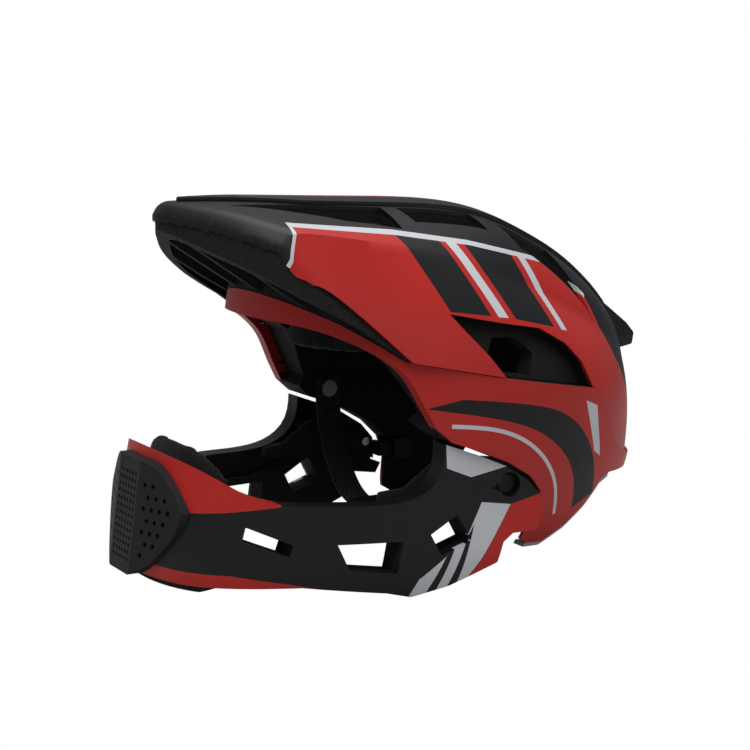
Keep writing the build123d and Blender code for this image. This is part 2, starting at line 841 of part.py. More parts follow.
with BuildPart() as latch_socket:
    with BuildSketch(Plane.YZ.offset(tongue_inner - socket_gap - socket_wall)):
        with Locations((socket_y + socket_depth / 2, tongue_middle)):
            Rectangle(socket_depth, tongue_height + 2 * (socket_wall + socket_gap))
    extrude(amount=tongue_wall + 2 * (socket_wall + socket_gap))
    with BuildSketch(Plane.YZ.offset(tongue_inner - socket_gap)):
        with Locations((socket_y + (socket_depth - socket_wall) / 2, tongue_middle)):
            Rectangle(socket_depth - socket_wall, tongue_height + 2 * socket_gap)
    extrude(amount=tongue_wall + 2 * socket_gap, mode=Mode.SUBTRACT)
write(latch_socket.part, "latch_socket_left")
write(mirrored(latch_socket.part), "latch_socket_right")

with BuildPart() as plate_screws:
    for side in (1, -1):
        with BuildSketch(Plane.YZ.offset(side * plate_inner)):
            with Locations(*side_view(plate_screw_shares)):
                Circle(screw_head_radius)
        extrude(amount=-side * screw_head_height)
write(plate_screws.part, "plate_screws")

# Soft pads of the head cavity
pad_face = cavity_form(pad_gap)
pad_skin = cavity_form(pad_gap + pad_thickness)
forehead_shares = [(0.42, 0.60), (0.46, 0.66), (0.36, 0.71), (-0.36, 0.71), (-0.46, 0.66), (-0.42, 0.60)]
side_pad_shares = [(0.01, 0.47), (0.24, 0.47), (0.25, 0.55), (0.15, 0.53), (0.02, 0.53)]
crown_pad_shares = [
    (0, -0.09), (0.30, -0.06), (0.36, 0.05), (0.16, 0.09), (0.36, 0.13), (0.30, 0.24), (0, 0.27),
]

with BuildPart() as pad_layer:
    add(pad_face)
    add(pad_skin, mode=Mode.SUBTRACT)

with BuildPart() as forehead_pad:
    add(pad_layer.part)
    add(extruded(Plane.XZ, front_view(forehead_shares), helmet_length), mode=Mode.INTERSECT)
write(forehead_pad.part, "forehead_pad")

with BuildPart() as side_pad:
    add(pad_layer.part)
    add(extruded(Plane.YZ, side_view(side_pad_shares), shell_half_width), mode=Mode.INTERSECT)
write(side_pad.part, "side_pad_left")
write(mirrored(side_pad.part), "side_pad_right")

with BuildPart() as crown_pad:
    add(pad_layer.part)
    add(plan_prism(top_view(crown_pad_shares)), mode=Mode.INTERSECT)
    split(bisect_by=Plane.XY.offset(cavity_middle_z), keep=Keep.TOP)
write(crown_pad.part, "crown_pad")

# Fit system: a cradle at the nape, two bands that slide in it and the dial that draws them in
def arc_sector(inner, outer, end, low, high, start=None):
    """Part of a ring about the head's axis, with angles from the rear towards the left."""
    start = -end if start is None else start
    with BuildPart() as sector:
        with BuildSketch(Plane.XY.offset(fit_height + low)):
            with Locations((0, band_arc_middle_y)):
                Circle(outer)
                Circle(inner, mode=Mode.SUBTRACT)
            with BuildLine():
                far = 2 * outer
                rays = [start + (end - start) * step / sector_steps for step in range(sector_steps + 1)]
                Polyline(
                    (0, band_arc_middle_y),
                    *[
                        (far * sin(ray * pi / 180), band_arc_middle_y + far * cos(ray * pi / 180))
                        for ray in rays
                    ],
                    close=True,
                )
            make_face(mode=Mode.INTERSECT)
        extrude(amount=high - low)
    return sector.part


band_inner = band_arc_radius - fit_band_wall / 2
band_outer = band_arc_radius + fit_band_wall / 2
cradle_inner = band_inner - cradle_wall
cradle_outer = band_outer + cradle_wall
slot_low = pinion_radius + rack_gap
slot_high = slot_low + fit_band_height
with BuildPart() as cradle:
    block_high = slot_high + cradle_wall
    add(arc_sector(cradle_inner, cradle_outer, cradle_angle, -block_high, block_high))
    for low, high in ((slot_low, slot_high), (-slot_high, -slot_low)):
        slot_reach = (band_inner - band_gap, band_outer + band_gap, cradle_angle + cradle_wall)
        add(arc_sector(*slot_reach, low - band_gap, high + band_gap), mode=Mode.SUBTRACT)
    with BuildSketch(Plane.XZ.offset(-band_arc_middle_y)):
        with Locations((0, fit_height)):
            Circle(pinion_radius + band_gap)
    extrude(amount=-2 * band_arc_radius, mode=Mode.SUBTRACT)
    for side in (1, -1):
        arm = [
            (cradle_arm_y, fit_height + slot_high),
            (cradle_arm_y + cradle_arm_wall, fit_height + slot_high),
            (cradle_top_y, cradle_top_z),
            (cradle_top_y - cradle_arm_wall, cradle_top_z),
        ]
        add(extruded(Plane.YZ.offset(side * cradle_arm_out - cradle_arm_width / 2), arm, cradle_arm_width))
write(cradle.part, "cradle")

write(arc_sector(band_inner, band_outer, reach_angle, slot_low, slot_high, start=-tail_angle), "band_left")
write(arc_sector(band_inner, band_outer, tail_angle, -slot_high, -slot_low, start=-reach_angle), "band_right")
nape_face = cradle_inner - pad_gap
write(arc_sector(nape_face - nape_pad_thickness, nape_face, nape_angle, -nape_rise, nape_rise), "nape_pad")

dial_start = band_arc_middle_y + cradle_outer + dial_gap
with BuildPart() as dial:
    with BuildSketch(Plane.XZ.offset(-dial_start)):
        with Locations((0, fit_height)):
            Circle(dial_radius)
            with PolarLocations(dial_radius, dial_flutes):
                Circle(dial_flute_radius, mode=Mode.SUBTRACT)
    extrude(amount=-dial_thickness)
    with BuildSketch(Plane.XZ.offset(-dial_start)):
        with Locations((0, fit_height)):
            Circle(pinion_radius)
    extrude(amount=dial_gap + 2 * cradle_wall + fit_band_wall)
write(dial.part, "adjuster_dial")

# Chin strap with its buckle
def strap(points):
    """Webbing along a route in front view, with a hole for its anchor."""
    with BuildPart() as webbing:
        with BuildSketch(Plane.XZ.offset(-strap_y)):
            with BuildLine() as route:
                Polyline(*points)
                offset(amount=strap_wall / 2, side=Side.BOTH)
            make_face()
        extrude(amount=strap_width / 2, both=True)
        with BuildSketch(Plane.YZ):
            with Locations((strap_y, anchor_z)):
                Circle(anchor_shank + button_gap)
        extrude(amount=shell_half_width, mode=Mode.SUBTRACT)
    return webbing.part


buckle_out = buckle_length / 2
strap_shares = [(0.38, 0.135), (0.59, 0.243), (0.684, 0.379), (0.684, 0.447)]
left_strap = strap([(buckle_out + strap_start_gap, strap_low)] + front_view(strap_shares))
write(left_strap, "strap_left")
write(mirrored(left_strap), "strap_right")

with BuildPart() as buckle_socket:
    with Locations((buckle_out - socket_length / 2, strap_y, strap_low)):
        Box(socket_length, buckle_width, buckle_height)
    fillet(buckle_socket.edges().filter_by(Axis.Z), buckle_height / 4)
    with Locations((buckle_out - socket_length, strap_y, strap_low)):
        Box(
            2 * (prong_length + buckle_gap), buckle_width - 2 * buckle_wall, buckle_height - 2 * buckle_wall,
            mode=Mode.SUBTRACT,
        )
write(buckle_socket.part, "buckle_socket")

with BuildPart() as buckle_tongue:
    tongue_back = buckle_out - socket_length - buckle_gap
    with Locations(((tongue_back - buckle_out) / 2, strap_y, strap_low)):
        Box(tongue_back + buckle_out, buckle_width, buckle_height)
    fillet(buckle_tongue.edges().filter_by(Axis.Z), buckle_height / 4)
    prong_half = (buckle_width - 2 * buckle_wall - 2 * buckle_gap) / 2
    for side in (1, -1):
        prong_y = strap_y + side * (prong_half - prong_width / 2)
        with Locations((tongue_back + prong_length / 2, prong_y, strap_low)):
            Box(prong_length, prong_width, buckle_height - 2 * buckle_wall - 2 * buckle_gap)
write(buckle_tongue.part, "buckle_tongue")

anchor_face = strap_top_out - strap_wall / 2
with BuildPart() as strap_anchors:
    for side in (1, -1):
        for radius, length in ((anchor_radius, -anchor_head), (anchor_shank, anchor_length)):
            with BuildSketch(Plane.YZ.offset(side * anchor_face)):
                with Locations((strap_y, anchor_z)):
                    Circle(radius)
            extrude(amount=side * length)
write(strap_anchors.part, "strap_anchors")

# Grey trim along the lower edge of the lobes
with BuildPart() as lobe_trim:
    edge = side_view(lobe_shares[:6])
    add(lower_form(trim_inset))
    add(lower_form(trim_inset + trim_wall), mode=Mode.SUBTRACT)
    add(side_prism([(along, up - seam_gap) for along, up in edge]
                   + [(along, up - trim_height) for along, up in edge[::-1]]), mode=Mode.INTERSECT)
write(lobe_trim.part, "lobe_trim")
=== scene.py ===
"""Full face bike helmet: shells, foam, pads, chin guard and fit system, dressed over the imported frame."""

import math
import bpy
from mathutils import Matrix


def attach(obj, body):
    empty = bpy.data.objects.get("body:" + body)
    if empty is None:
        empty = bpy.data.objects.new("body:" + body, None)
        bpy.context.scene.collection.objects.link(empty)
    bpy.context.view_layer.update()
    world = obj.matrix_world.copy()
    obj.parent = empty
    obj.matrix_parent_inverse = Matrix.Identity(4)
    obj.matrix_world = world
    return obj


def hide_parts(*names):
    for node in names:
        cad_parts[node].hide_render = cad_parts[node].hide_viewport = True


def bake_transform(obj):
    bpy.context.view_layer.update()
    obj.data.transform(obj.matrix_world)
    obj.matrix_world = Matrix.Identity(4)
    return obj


bl_info = {
    "name": "Full face bike helmet",
    "version": (1, 0, 0),
    "blender": (4, 5, 0),
    "location": "View3D > Sidebar > Helmet",
    "description": "Builds a full face bike helmet piece by piece",
    "category": "Add Mesh",
}

import bmesh
import bpy
import numpy as np
from mathutils import Vector

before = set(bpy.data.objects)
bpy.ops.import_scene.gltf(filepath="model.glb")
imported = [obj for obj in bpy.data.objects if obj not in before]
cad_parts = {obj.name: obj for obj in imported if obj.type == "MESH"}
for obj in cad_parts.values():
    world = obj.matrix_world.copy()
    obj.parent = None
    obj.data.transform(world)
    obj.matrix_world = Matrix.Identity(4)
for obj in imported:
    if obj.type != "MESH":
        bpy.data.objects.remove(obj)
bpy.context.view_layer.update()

MM = 0.001

# Driving sizes in millimetres, of the whole helmet, the chin guard and the space for the head
LENGTH, HEIGHT, HALF_WIDTH = 330, 206, 98
MIDDLE_Y, MIDDLE_Z, REAR = 10, 92, 152
CHIN_HALF_WIDTH, CHIN_REACH = 93, 160
HEAD_HALF_WIDTH, HEAD_HALF_LENGTH, HEAD_HEIGHT, HEAD_Y = 76, 98, 88, 32
FAR = 12
TOP, BACK, FRONT = HEIGHT + FAR, LENGTH / 2 + FAR, -LENGTH / 2 - FAR

# Walls, gaps and the sizes of single pieces
BAND_RISE, BAND_FOOT = 2.6, 0.6
SPOILER_HALF_WIDTH = 17
RIM_WALL, RIM_WIDTH, SEAM_GAP, THIN_LINE = 7, 5, 0.5, 2.2
FOAM_GAP, VENT_DEPTH = 0.3, 6
VISOR_HALF_WIDTH, VISOR_MIDDLE, VISOR_REACH, VISOR_LIP = 94, -39, 100, 9
VISOR_FOAM_INSET, VISOR_FOAM_ROOF, HALF_RIB = 1.5, 4, 2.5
LANE_LIP_Y = VISOR_MIDDLE - VISOR_REACH + VISOR_LIP
NOSE_ROLL, NOSE_ROLL_START, NOSE_ROLL_RUN, NOSE_TOP = 9.0, -70, 35, HEIGHT - 3
CHIN_WALL, CHIN_INSIDE, LEDGE_FALL = 3, 12, 15.5
LEDGE_INNER, LEDGE_OUTER = 80, 110
LATCH_Y, LATCH_Z, LATCH_RADIUS = 22, 55.5, 6.6
MOUTH_HALF_WIDTH, MOUTH_HALF_HEIGHT, MOUTH_Z, MOUTH_CORNER = 30, 16.5, 43.5, 8
STRAP_ROUTE = [(24, 24), (37.2, 27.8), (57.8, 50.1), (67, 78.1), (67, 92)]
STRAP_MIDDLE, STRAP_HALF_WIDTH, STRAP_HALF_WALL = -2, 8, 0.8


def length_setting(name, description, default):
    """A length that a user would change, in metres."""
    return bpy.props.FloatProperty(name=name, description=description, default=default, unit="LENGTH")


def colour_setting(name, description, default):
    """A colour that a user would change."""
    return bpy.props.FloatVectorProperty(
        name=name, description=description, default=default, subtype="COLOR", min=0, max=1
    )


class HelmetSizes(bpy.types.PropertyGroup):
    """Sizes that a user would change."""

    shell_wall: length_setting("Shell wall", "Thickness of the painted shells", 0.0024)
    line_width: length_setting("Line width", "Width of the pale painted lines", 0.0026)
    bead: length_setting("Foam bead", "Size of the beads that show in the foam", 0.0017)
    stitch_pitch: length_setting("Stitch pitch", "Distance from stitch to stitch", 0.003)
    pad_fill: bpy.props.FloatProperty(
        name="Pad fill", description="How tightly the pads are filled", default=0.7,
        min=0, max=1, subtype="FACTOR",
    )


class HelmetColours(bpy.types.PropertyGroup):
    """Colours of the paint, the foam and the pads."""

    red: colour_setting("Red", "Main paint", (0.49, 0.019, 0.013))
    black: colour_setting("Black", "Dark paint", (0.006, 0.006, 0.007))
    pale: colour_setting("Pale grey", "Light paint", (0.60, 0.62, 0.64))
    foam: colour_setting("Foam", "Foam liners", (0.010, 0.010, 0.011))
    pad: colour_setting("Pad", "Pad fabric", (0.006, 0.006, 0.007))


def sizes():
    """The sizes set in the scene."""
    return bpy.context.scene.helmet_sizes


def colours():
    """The colours set in the scene."""
    return bpy.context.scene.helmet_colours


# Smooth forms, in millimetres


def eased(marks, points, where):
    """Natural cubic curve through points at marks, read at where."""
    marks, points = np.asarray(marks, float), np.asarray(points, float)
    count, gaps = len(marks), np.diff(marks)
    pulls, turns = np.zeros((count, count)), np.zeros_like(points)
    pulls[0, 0] = pulls[-1, -1] = 1
    for i in range(1, count - 1):
        pulls[i, i - 1 : i + 2] = gaps[i - 1], 2 * (gaps[i - 1] + gaps[i]), gaps[i]
        turns[i] = 6 * ((points[i + 1] - points[i]) / gaps[i] - (points[i] - points[i - 1]) / gaps[i - 1])
    bends = np.linalg.solve(pulls, turns.reshape(count, -1)).reshape(points.shape)
    k = np.clip(np.searchsorted(marks, where) - 1, 0, count - 2)
    shape = (-1,) + (1,) * (points.ndim - 1)
    a = ((marks[k + 1] - where) / gaps[k]).reshape(shape)
    b = ((where - marks[k]) / gaps[k]).reshape(shape)
    wide = gaps[k].reshape(shape)
    bent = (a**3 - a) * bends[k] + (b**3 - b) * bends[k + 1]
    return a * points[k] + b * points[k + 1] + bent * wide**2 / 6


def run_lengths(points):
    """Distance along a row of points or of whole sections."""
    steps = np.linalg.norm(np.diff(points, axis=0).reshape(len(points) - 1, -1, points.shape[-1]), axis=-1)
    return np.r_[0, np.cumsum(steps.mean(1))]


def along_curve(points, count):
    """A smooth curve through points or whole sections, read at even distances."""
    marks = run_lengths(np.asarray(points, float))
    return eased(marks, points, np.linspace(0, marks[-1], count))


def drawn_in(value, middle, reach, inset):
    """A value brought towards the middle, by the whole inset at the full reach."""
    return middle + (value - middle) * (1 - inset / reach)


# Sections of the upper outside: place along, height, crease out and up, side out and up, all as shares
STATIONS = [
    (-0.461, 1.000, 0.700, 0.935, 0.969, 0.592),
    (-0.303, 1.000, 0.715, 0.942, 0.959, 0.592),
    (-0.182, 0.993, 0.704, 0.917, 0.949, 0.583),
    (-0.061, 0.985, 0.673, 0.879, 0.990, 0.563),
    (0.045, 0.976, 0.663, 0.830, 1.000, 0.544),
    (0.152, 0.947, 0.622, 0.772, 0.969, 0.515),
    (0.242, 0.888, 0.582, 0.704, 0.878, 0.485),
    (0.318, 0.820, 0.530, 0.640, 0.745, 0.456),
    (0.379, 0.743, 0.450, 0.590, 0.587, 0.427),
    (0.424, 0.665, 0.330, 0.545, 0.403, 0.408),
    (0.452, 0.573, 0.200, 0.500, 0.214, 0.398),
    (0.461, 0.490, 0.061, 0.462, 0.071, 0.403),
]
# Level rings of the lower outside: height, half width, front and rear reach, as shares
RINGS = [
    (-0.03, 0.66, 0.66, 0.78),
    (0.10, 0.80, 0.68, 0.90),
    (0.24, 0.93, 0.69, 0.99),
    (0.41, 0.985, 0.695, 1.00),
    (0.58, 0.985, 0.71, 0.99),
    (0.77, 0.885, 0.69, 0.84),
]
TALL_RING = [(1.05, 0.75, 0.66, 0.70)]
# Half of the chin guard's plan, out and forward, and its levels: height, width and depth, as shares
CHIN_PLAN = [
    (1.0, -0.42), (0.995, 0.06), (0.935, 0.36), (0.79, 0.66), (0.56, 0.885), (0.28, 0.965), (0.0, 0.985),
]
CHIN_LEVELS = [
    (-0.03, 0.93, 0.94), (0.07, 1.0, 1.0), (0.20, 1.0, 0.995), (0.38, 0.97, 0.945), (0.52, 0.95, 0.92),
]
FLANK_FOOT_OUT, FLANK_FOOT_Z = 0.93, 44
BULGE = [0.68, 0.5]
LOWER_SQUARENESS = 2.2


def upper_rows(inset, flank=26, crown=46, rows=130):
    """Sections of the upper outside from the visor's tip to the rear."""
    sections = []
    for along, top, crease_out, crease_up, side_out, side_up in STATIONS:
        station = drawn_in(along * LENGTH, MIDDLE_Y, REAR - MIDDLE_Y, inset)

        def lifted(share):
            return drawn_in(share * HEIGHT, MIDDLE_Z, HEIGHT - MIDDLE_Z, inset)

        def spread(share):
            return drawn_in(share * HALF_WIDTH, 0, HALF_WIDTH, inset)

        crease = np.array([spread(crease_out), lifted(crease_up)])
        side = np.array([spread(side_out), lifted(side_up)])
        bulge = crease + (side - crease) * BULGE
        line = along_curve([(side[0] * FLANK_FOOT_OUT, FLANK_FOOT_Z), side, bulge, crease], flank)
        peak = lifted(top)
        centre = (crease @ crease - peak**2) / (2 * (crease[1] - peak))
        radius = peak - centre
        reach = math.atan2(crease[0], crease[1] - centre)
        turn = np.linspace(reach, -reach, crown)[1:-1]
        arc = np.c_[radius * np.sin(turn), centre + radius * np.cos(turn)]
        section = np.r_[line, arc, line[::-1] * [-1, 1]]
        sections.append(np.c_[section[:, 0], np.full(len(section), station), section[:, 1]])
    return along_curve(np.array(sections), rows)


def lower_rows(inset, tall=False, around=120, rows=40):
    """Level rings of the lower outside, each drawn with turns to spare so that its ends meet smoothly."""
    corners, spare = 12, 4
    sections = []
    for up, half_width, front, rear in RINGS + (TALL_RING if tall else []):
        ring = []
        for index in range(-spare, corners + spare + 1):
            turn = 2 * math.pi * index / corners
            across, along = round(math.cos(turn), 9), round(math.sin(turn), 9)
            reach = (rear if along > 0 else front) * (REAR - MIDDLE_Y) - inset
            out = (half_width * HALF_WIDTH - inset) * abs(across) ** (2 / LOWER_SQUARENESS)
            back = reach * abs(along) ** (2 / LOWER_SQUARENESS)
            ring.append((math.copysign(out, across), MIDDLE_Y + math.copysign(back, along), up * HEIGHT))
        ring = np.array(ring)
        marks = run_lengths(ring)
        where = np.linspace(marks[spare], marks[spare + corners], around + 1)[:-1]
        sections.append(eased(marks, ring, where))
    return along_curve(np.array(sections), rows)


def chin_rows(inset, across=110, rows=36):
    """Level lines of the chin guard's outside."""
    sections = []
    for up, wide, deep in CHIN_LEVELS:
        half = [
            (
                out * (CHIN_HALF_WIDTH * wide - inset),
                -forward * (CHIN_REACH * deep - inset) if forward > 0 else -forward * CHIN_REACH,
            )
            for out, forward in CHIN_PLAN
        ]
        line = along_curve(half + [(-out, back) for out, back in reversed(half[:-1])], across)
        sections.append(np.c_[line, np.full(len(line), up * HEIGHT)])
    return along_curve(np.array(sections), rows)


def head_rows(around=72, dome=22, dome_end=0.985):
    """Levels of the space for the head, from below up to its top."""
    climb = np.linspace(0, math.pi / 2 * dome_end, dome)
    levels = [(-FAR, 1.0)] + [(MIDDLE_Z + HEAD_HEIGHT * math.sin(a), math.cos(a)) for a in climb]
    turns = np.linspace(0, 2 * math.pi, around, endpoint=False)
    rows = []
    for level, share in levels:
        out = HEAD_HALF_WIDTH * share * np.cos(turns)
        along = HEAD_Y + HEAD_HALF_LENGTH * share * np.sin(turns)
        rows.append(np.c_[out, along, np.full(around, level)])
    return np.array(rows)


# Meshes and cuts


def placed(name, data):
    """A new object in the scene."""
    made = bpy.data.objects.new(name, data)
    bpy.context.scene.collection.objects.link(made)
    return made


def new_object(name, points, faces):
    """A mesh from points in millimetres, with its faces turned outwards."""
    mesh = bpy.data.meshes.new(name)
    mesh.from_pydata((np.asarray(points) * MM).tolist(), [], [list(f) for f in faces])
    piece = placed(name, mesh)
    sheet = bmesh.new()
    sheet.from_mesh(mesh)
    bmesh.ops.recalc_face_normals(sheet, faces=sheet.faces)
    sheet.to_mesh(mesh)
    sheet.free()
    return piece


def rows_solid(name, rows):
    """A closed solid through rows of points, each row closed back to its start."""
    count, wide = rows.shape[:2]
    faces = []
    for i in range(count - 1):
        for j in range(wide):
            k = (j + 1) % wide
            faces.append((i * wide + j, i * wide + k, (i + 1) * wide + k, (i + 1) * wide + j))
    faces.append(range(wide))
    faces.append(range((count - 1) * wide, count * wide))
    return new_object(name, rows.reshape(-1, 3), faces)


def prism(name, outline, axis, low, high):
    """An outline in the plane square to the axis, run from low to high."""
    ends = [np.insert(np.asarray(outline, float), axis, level, axis=1) for level in (low, high)]
    return rows_solid(name, np.array(ends))


def side_prism(outline):
    """A side view outline run through the whole width."""
    return prism("cutter", outline, 0, -HALF_WIDTH - FAR, HALF_WIDTH + FAR)


def plan_prism(outline, low=0):
    """A plan outline run up past the top."""
    return prism("cutter", outline, 2, low, TOP)


def plan_prisms(outline):
    """A plan outline of the left side and its mirror image, each run up past the top."""
    return [plan_prism([(side * out, along) for out, along in outline]) for side in (1, -1)]


def applied(piece):
    """The piece with its modifiers made part of its mesh."""
    view = bpy.context.evaluated_depsgraph_get()
    mesh = bpy.data.meshes.new_from_object(piece.evaluated_get(view))
    piece.modifiers.clear()
    old, piece.data = piece.data, mesh
    bpy.data.meshes.remove(old)
    return piece


def drop(*pieces):
    """Takes scratch pieces and their meshes away."""
    for piece in pieces:
        mesh = piece.data
        bpy.data.objects.remove(piece)
        bpy.data.meshes.remove(mesh)


def twin(piece):
    """A copy of the piece with a mesh of its own."""
    return placed(piece.name, piece.data.copy())


def common(piece, tool, keep=False):
    """What the piece and the tool share."""
    return carve(piece, tool, keep, how="INTERSECT")


def carve(piece, tool, keep=False, how="DIFFERENCE"):
    """The piece less the tool, which is dropped unless it is kept."""
    cut = piece.modifiers.new("cut", "BOOLEAN")
    cut.object, cut.operation, cut.solver = tool, how, "MANIFOLD"
    applied(piece)
    if not keep:
        drop(tool)
    return piece


def softened(piece, width=0.7, sharpest=38):
    """The piece with its sharp edges rounded off."""
    edge = piece.modifiers.new("edge", "BEVEL")
    edge.width, edge.segments = width * MM, 2
    edge.limit_method, edge.angle_limit = "ANGLE", math.radians(sharpest)
    edge.use_clamp_overlap = False
    return applied(piece)


def joined(name, pieces):
    """Several pieces as one mesh that keeps each one's material."""
    sheet = bmesh.new()
    materials = []
    for piece in pieces:
        start = len(sheet.faces)
        sheet.from_mesh(piece.data)
        sheet.faces.ensure_lookup_table()
        material = piece.data.materials[0]
        if material not in materials:
            materials.append(material)
        for face in sheet.faces[start:]:
            face.material_index = materials.index(material)
    mesh = bpy.data.meshes.new(name)
    sheet.to_mesh(mesh)
    sheet.free()
    for material in materials:
        mesh.materials.append(material)
    drop(*pieces)
    return placed(name, mesh)


def split_by_material(piece):
    """One object for each material of a piece."""
    made = []
    for index, material in enumerate(piece.data.materials):
        part = twin(piece)
        sheet = bmesh.new()
        sheet.from_mesh(part.data)
        bmesh.ops.delete(sheet, geom=[f for f in sheet.faces if f.material_index != index], context="FACES")
        sheet.to_mesh(part.data)
        sheet.free()
        made.append(dressed(part, material))
    drop(piece)
    return made


def vertex_places(piece):
    """The vertices as rows of x, y and z, in metres."""
    places = np.empty(len(piece.data.vertices) * 3)
    piece.data.vertices.foreach_get("co", places)
    return places.reshape(-1, 3)


def move_vertices(piece, places):
    """Puts the vertices at new places."""
    piece.data.vertices.foreach_set("co", places.ravel())


def dressed(piece, material):
    """The piece in one material."""
    piece.data.materials.clear()
    piece.data.materials.append(material)
    return piece


def painted(name, piece, ground, layers):
    """The piece split along painted outlines; a later layer lies over an earlier one."""
    parts = []
    for outline, material in reversed(layers):
        tool = side_prism(outline)
        inside = common(twin(piece), tool, keep=True)
        carve(piece, tool)
        if len(inside.data.polygons):
            parts.append(dressed(inside, material))
        else:
            drop(inside)
    parts.append(dressed(piece, ground))
    return joined(name, parts)


def plain_inside(piece, material, top=1.0, straight=0.06, inward=-0.5):
    """Faces that look in towards the head's middle line, up to the top level, get the unpainted material."""
    piece.data.materials.append(material)
    for face in piece.data.polygons:
        nearest = max(-straight, min(straight, face.center.y))
        outward = Vector((face.center.x, face.center.y - nearest, 0)).normalized()
        if face.normal.dot(outward) < inward and face.center.z < top:
            face.material_index = len(piece.data.materials) - 1
    return piece


def finished(piece, node, body, angle=32, bend=None):
    """The smooth piece riding its body; with a bend given, it rides no body and its placement is baked into
    its mesh instead, and the bend's second body and points go unused.
    """
    mesh = piece.data
    mesh.polygons.foreach_set("use_smooth", [True] * len(mesh.polygons))
    mesh.set_sharp_from_angle(angle=math.radians(angle))
    mesh.update()
    if bend:
        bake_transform(piece)
    else:
        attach(piece, body)
    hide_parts(node)


def stripe(line, width):
    """A band of even width along a side view line, as an outline."""
    line = np.asarray(line, float)
    runs = np.diff(line, axis=0)
    runs /= np.linalg.norm(runs, axis=1)[:, None]
    sides = np.c_[-runs[:, 1], runs[:, 0]]
    sides = np.r_[sides[:1], (sides[1:] + sides[:-1]) / 2, sides[-1:]]
    return [tuple(p) for p in line + sides * width / 2] + [tuple(p) for p in (line - sides * width / 2)[::-1]]


def round_outline(along, up, radius, count=48):
    """A circle in the side view."""
    turns = np.linspace(0, 2 * math.pi, count, endpoint=False)
    return [(along + radius * math.cos(a), up + radius * math.sin(a)) for a in turns]


def curved(points, count=32):
    """A smooth line through the points."""
    return [tuple(point) for point in along_curve(points, count)]


def side_view(points):
    """Side view points, (along, up), from shares of the length and the height."""
    return [(along * LENGTH, up * HEIGHT) for along, up in points]


def top_view(points):
    """Top view points, (out, along), from shares of the half width and the length."""
    return [(out * HALF_WIDTH, along * LENGTH) for out, along in points]


# Materials

WEBBING, THREAD, STEEL = (0.007, 0.007, 0.008), (0.03, 0.03, 0.032), (0.5, 0.5, 0.52)
# The middle colour of the next line is a lighter grey for the chin guard's up-facing ledge: painted light,
# not a colour of its own.
PLASTIC, LEDGE_PAINTED_LIGHT, EDGE_TRIM = (0.012, 0.012, 0.013), (0.02, 0.02, 0.022), (0.42, 0.43, 0.45)
WAVES_PER_PITCH = 0.314


def node(tree, kind, **values):
    """A new node with its inputs and settings filled in by name; a socket is linked."""
    made = tree.nodes.new(kind)
    for key, value in values.items():
        if isinstance(value, bpy.types.NodeSocket):
            tree.links.new(value, made.inputs[key])
        elif key in made.inputs:
            made.inputs[key].default_value = value
        else:
            setattr(made, key, value)
    return made


def texture(tree, place, kind, **values):
    """A new texture node laid out over the place coordinates."""
    return node(tree, "ShaderNodeTex" + kind, Vector=place, **values)


def once(make):
    """Makes a material when its name is first asked for, and finds it again after that."""
    def found_or_made(name, *args, **values):
        return bpy.data.materials.get(name) or make(name, *args, **values)
    return found_or_made


def blank(name, roughness, **sockets):
    """A material with its tree and shader, and Object coordinates to build on."""
    material = bpy.data.materials.new(name)
    material.use_nodes = True
    tree = material.node_tree
    shader = tree.nodes["Principled BSDF"]
    for key, value in {"Roughness": roughness, "Specular IOR Level": 0.25, **sockets}.items():
        shader.inputs[key].default_value = value
    place = node(tree, "ShaderNodeTexCoord").outputs["Object"]
    return material, tree, shader, place


def ramped(tree, value, colour, shades, positions):
    """The colour in two shades, run from one to the other between two positions of the value."""
    ramp = node(tree, "ShaderNodeValToRGB", Fac=value)
    for stop, shade, position in zip(ramp.color_ramp.elements, shades, positions):
        stop.position = position
        stop.color = (*[min(1, c * shade) for c in colour], 1)
    return ramp.outputs["Color"]


def shaded(tree, place, shader, colour, scale, low, high):
    """Colour that drifts a little over the surface."""
    noise = texture(tree, place, "Noise", Scale=scale, Detail=4.0)
    drift = ramped(tree, noise.outputs["Fac"], colour, shades=(low, high), positions=(0.3, 0.7))
    tree.links.new(drift, shader.inputs["Base Color"])


def bumped(tree, shader, height, distance, strength):
    """A fine relief, as deep as the distance in metres."""
    bump = node(tree, "ShaderNodeBump", Strength=strength, Distance=distance, Height=height)
    tree.links.new(bump.outputs["Normal"], shader.inputs["Normal"])


def ranged(tree, value, low, high):
    """A value from 0 to 1 spread from low to high."""
    return node(tree, "ShaderNodeMapRange", Value=value, **{"To Min": low, "To Max": high}).outputs["Result"]


@once
def paint(name, colour, low_rough=0.36, high_rough=0.46):
    """Satin paint with a faint orange peel and a slow drift of gloss."""
    gloss = {"Coat Weight": 0.04, "Coat Roughness": 0.35, "Specular IOR Level": 0.32}
    material, tree, shader, place = blank(name, 0.4, **gloss)
    shaded(tree, place, shader, colour, scale=14.0, low=0.93, high=1.05)
    cloud = texture(tree, place, "Noise", Scale=45.0, Detail=6.0)
    tree.links.new(ranged(tree, cloud.outputs["Fac"], low_rough, high_rough), shader.inputs["Roughness"])
    peel = texture(tree, place, "Noise", Scale=900.0, Detail=2.0)
    bumped(tree, shader, peel.outputs["Fac"], distance=0.00004, strength=0.6)
    return material


@once
def moulded(name, colour, grain=1400.0, roughness=0.55):
    """Moulded plastic with a fine spark-eroded grain."""
    material, tree, shader, place = blank(name, roughness)
    shaded(tree, place, shader, colour, scale=30.0, low=0.85, high=1.15)
    grit = texture(tree, place, "Voronoi", Scale=grain)
    bumped(tree, shader, grit.outputs["Distance"], distance=0.00006, strength=0.7)
    return material


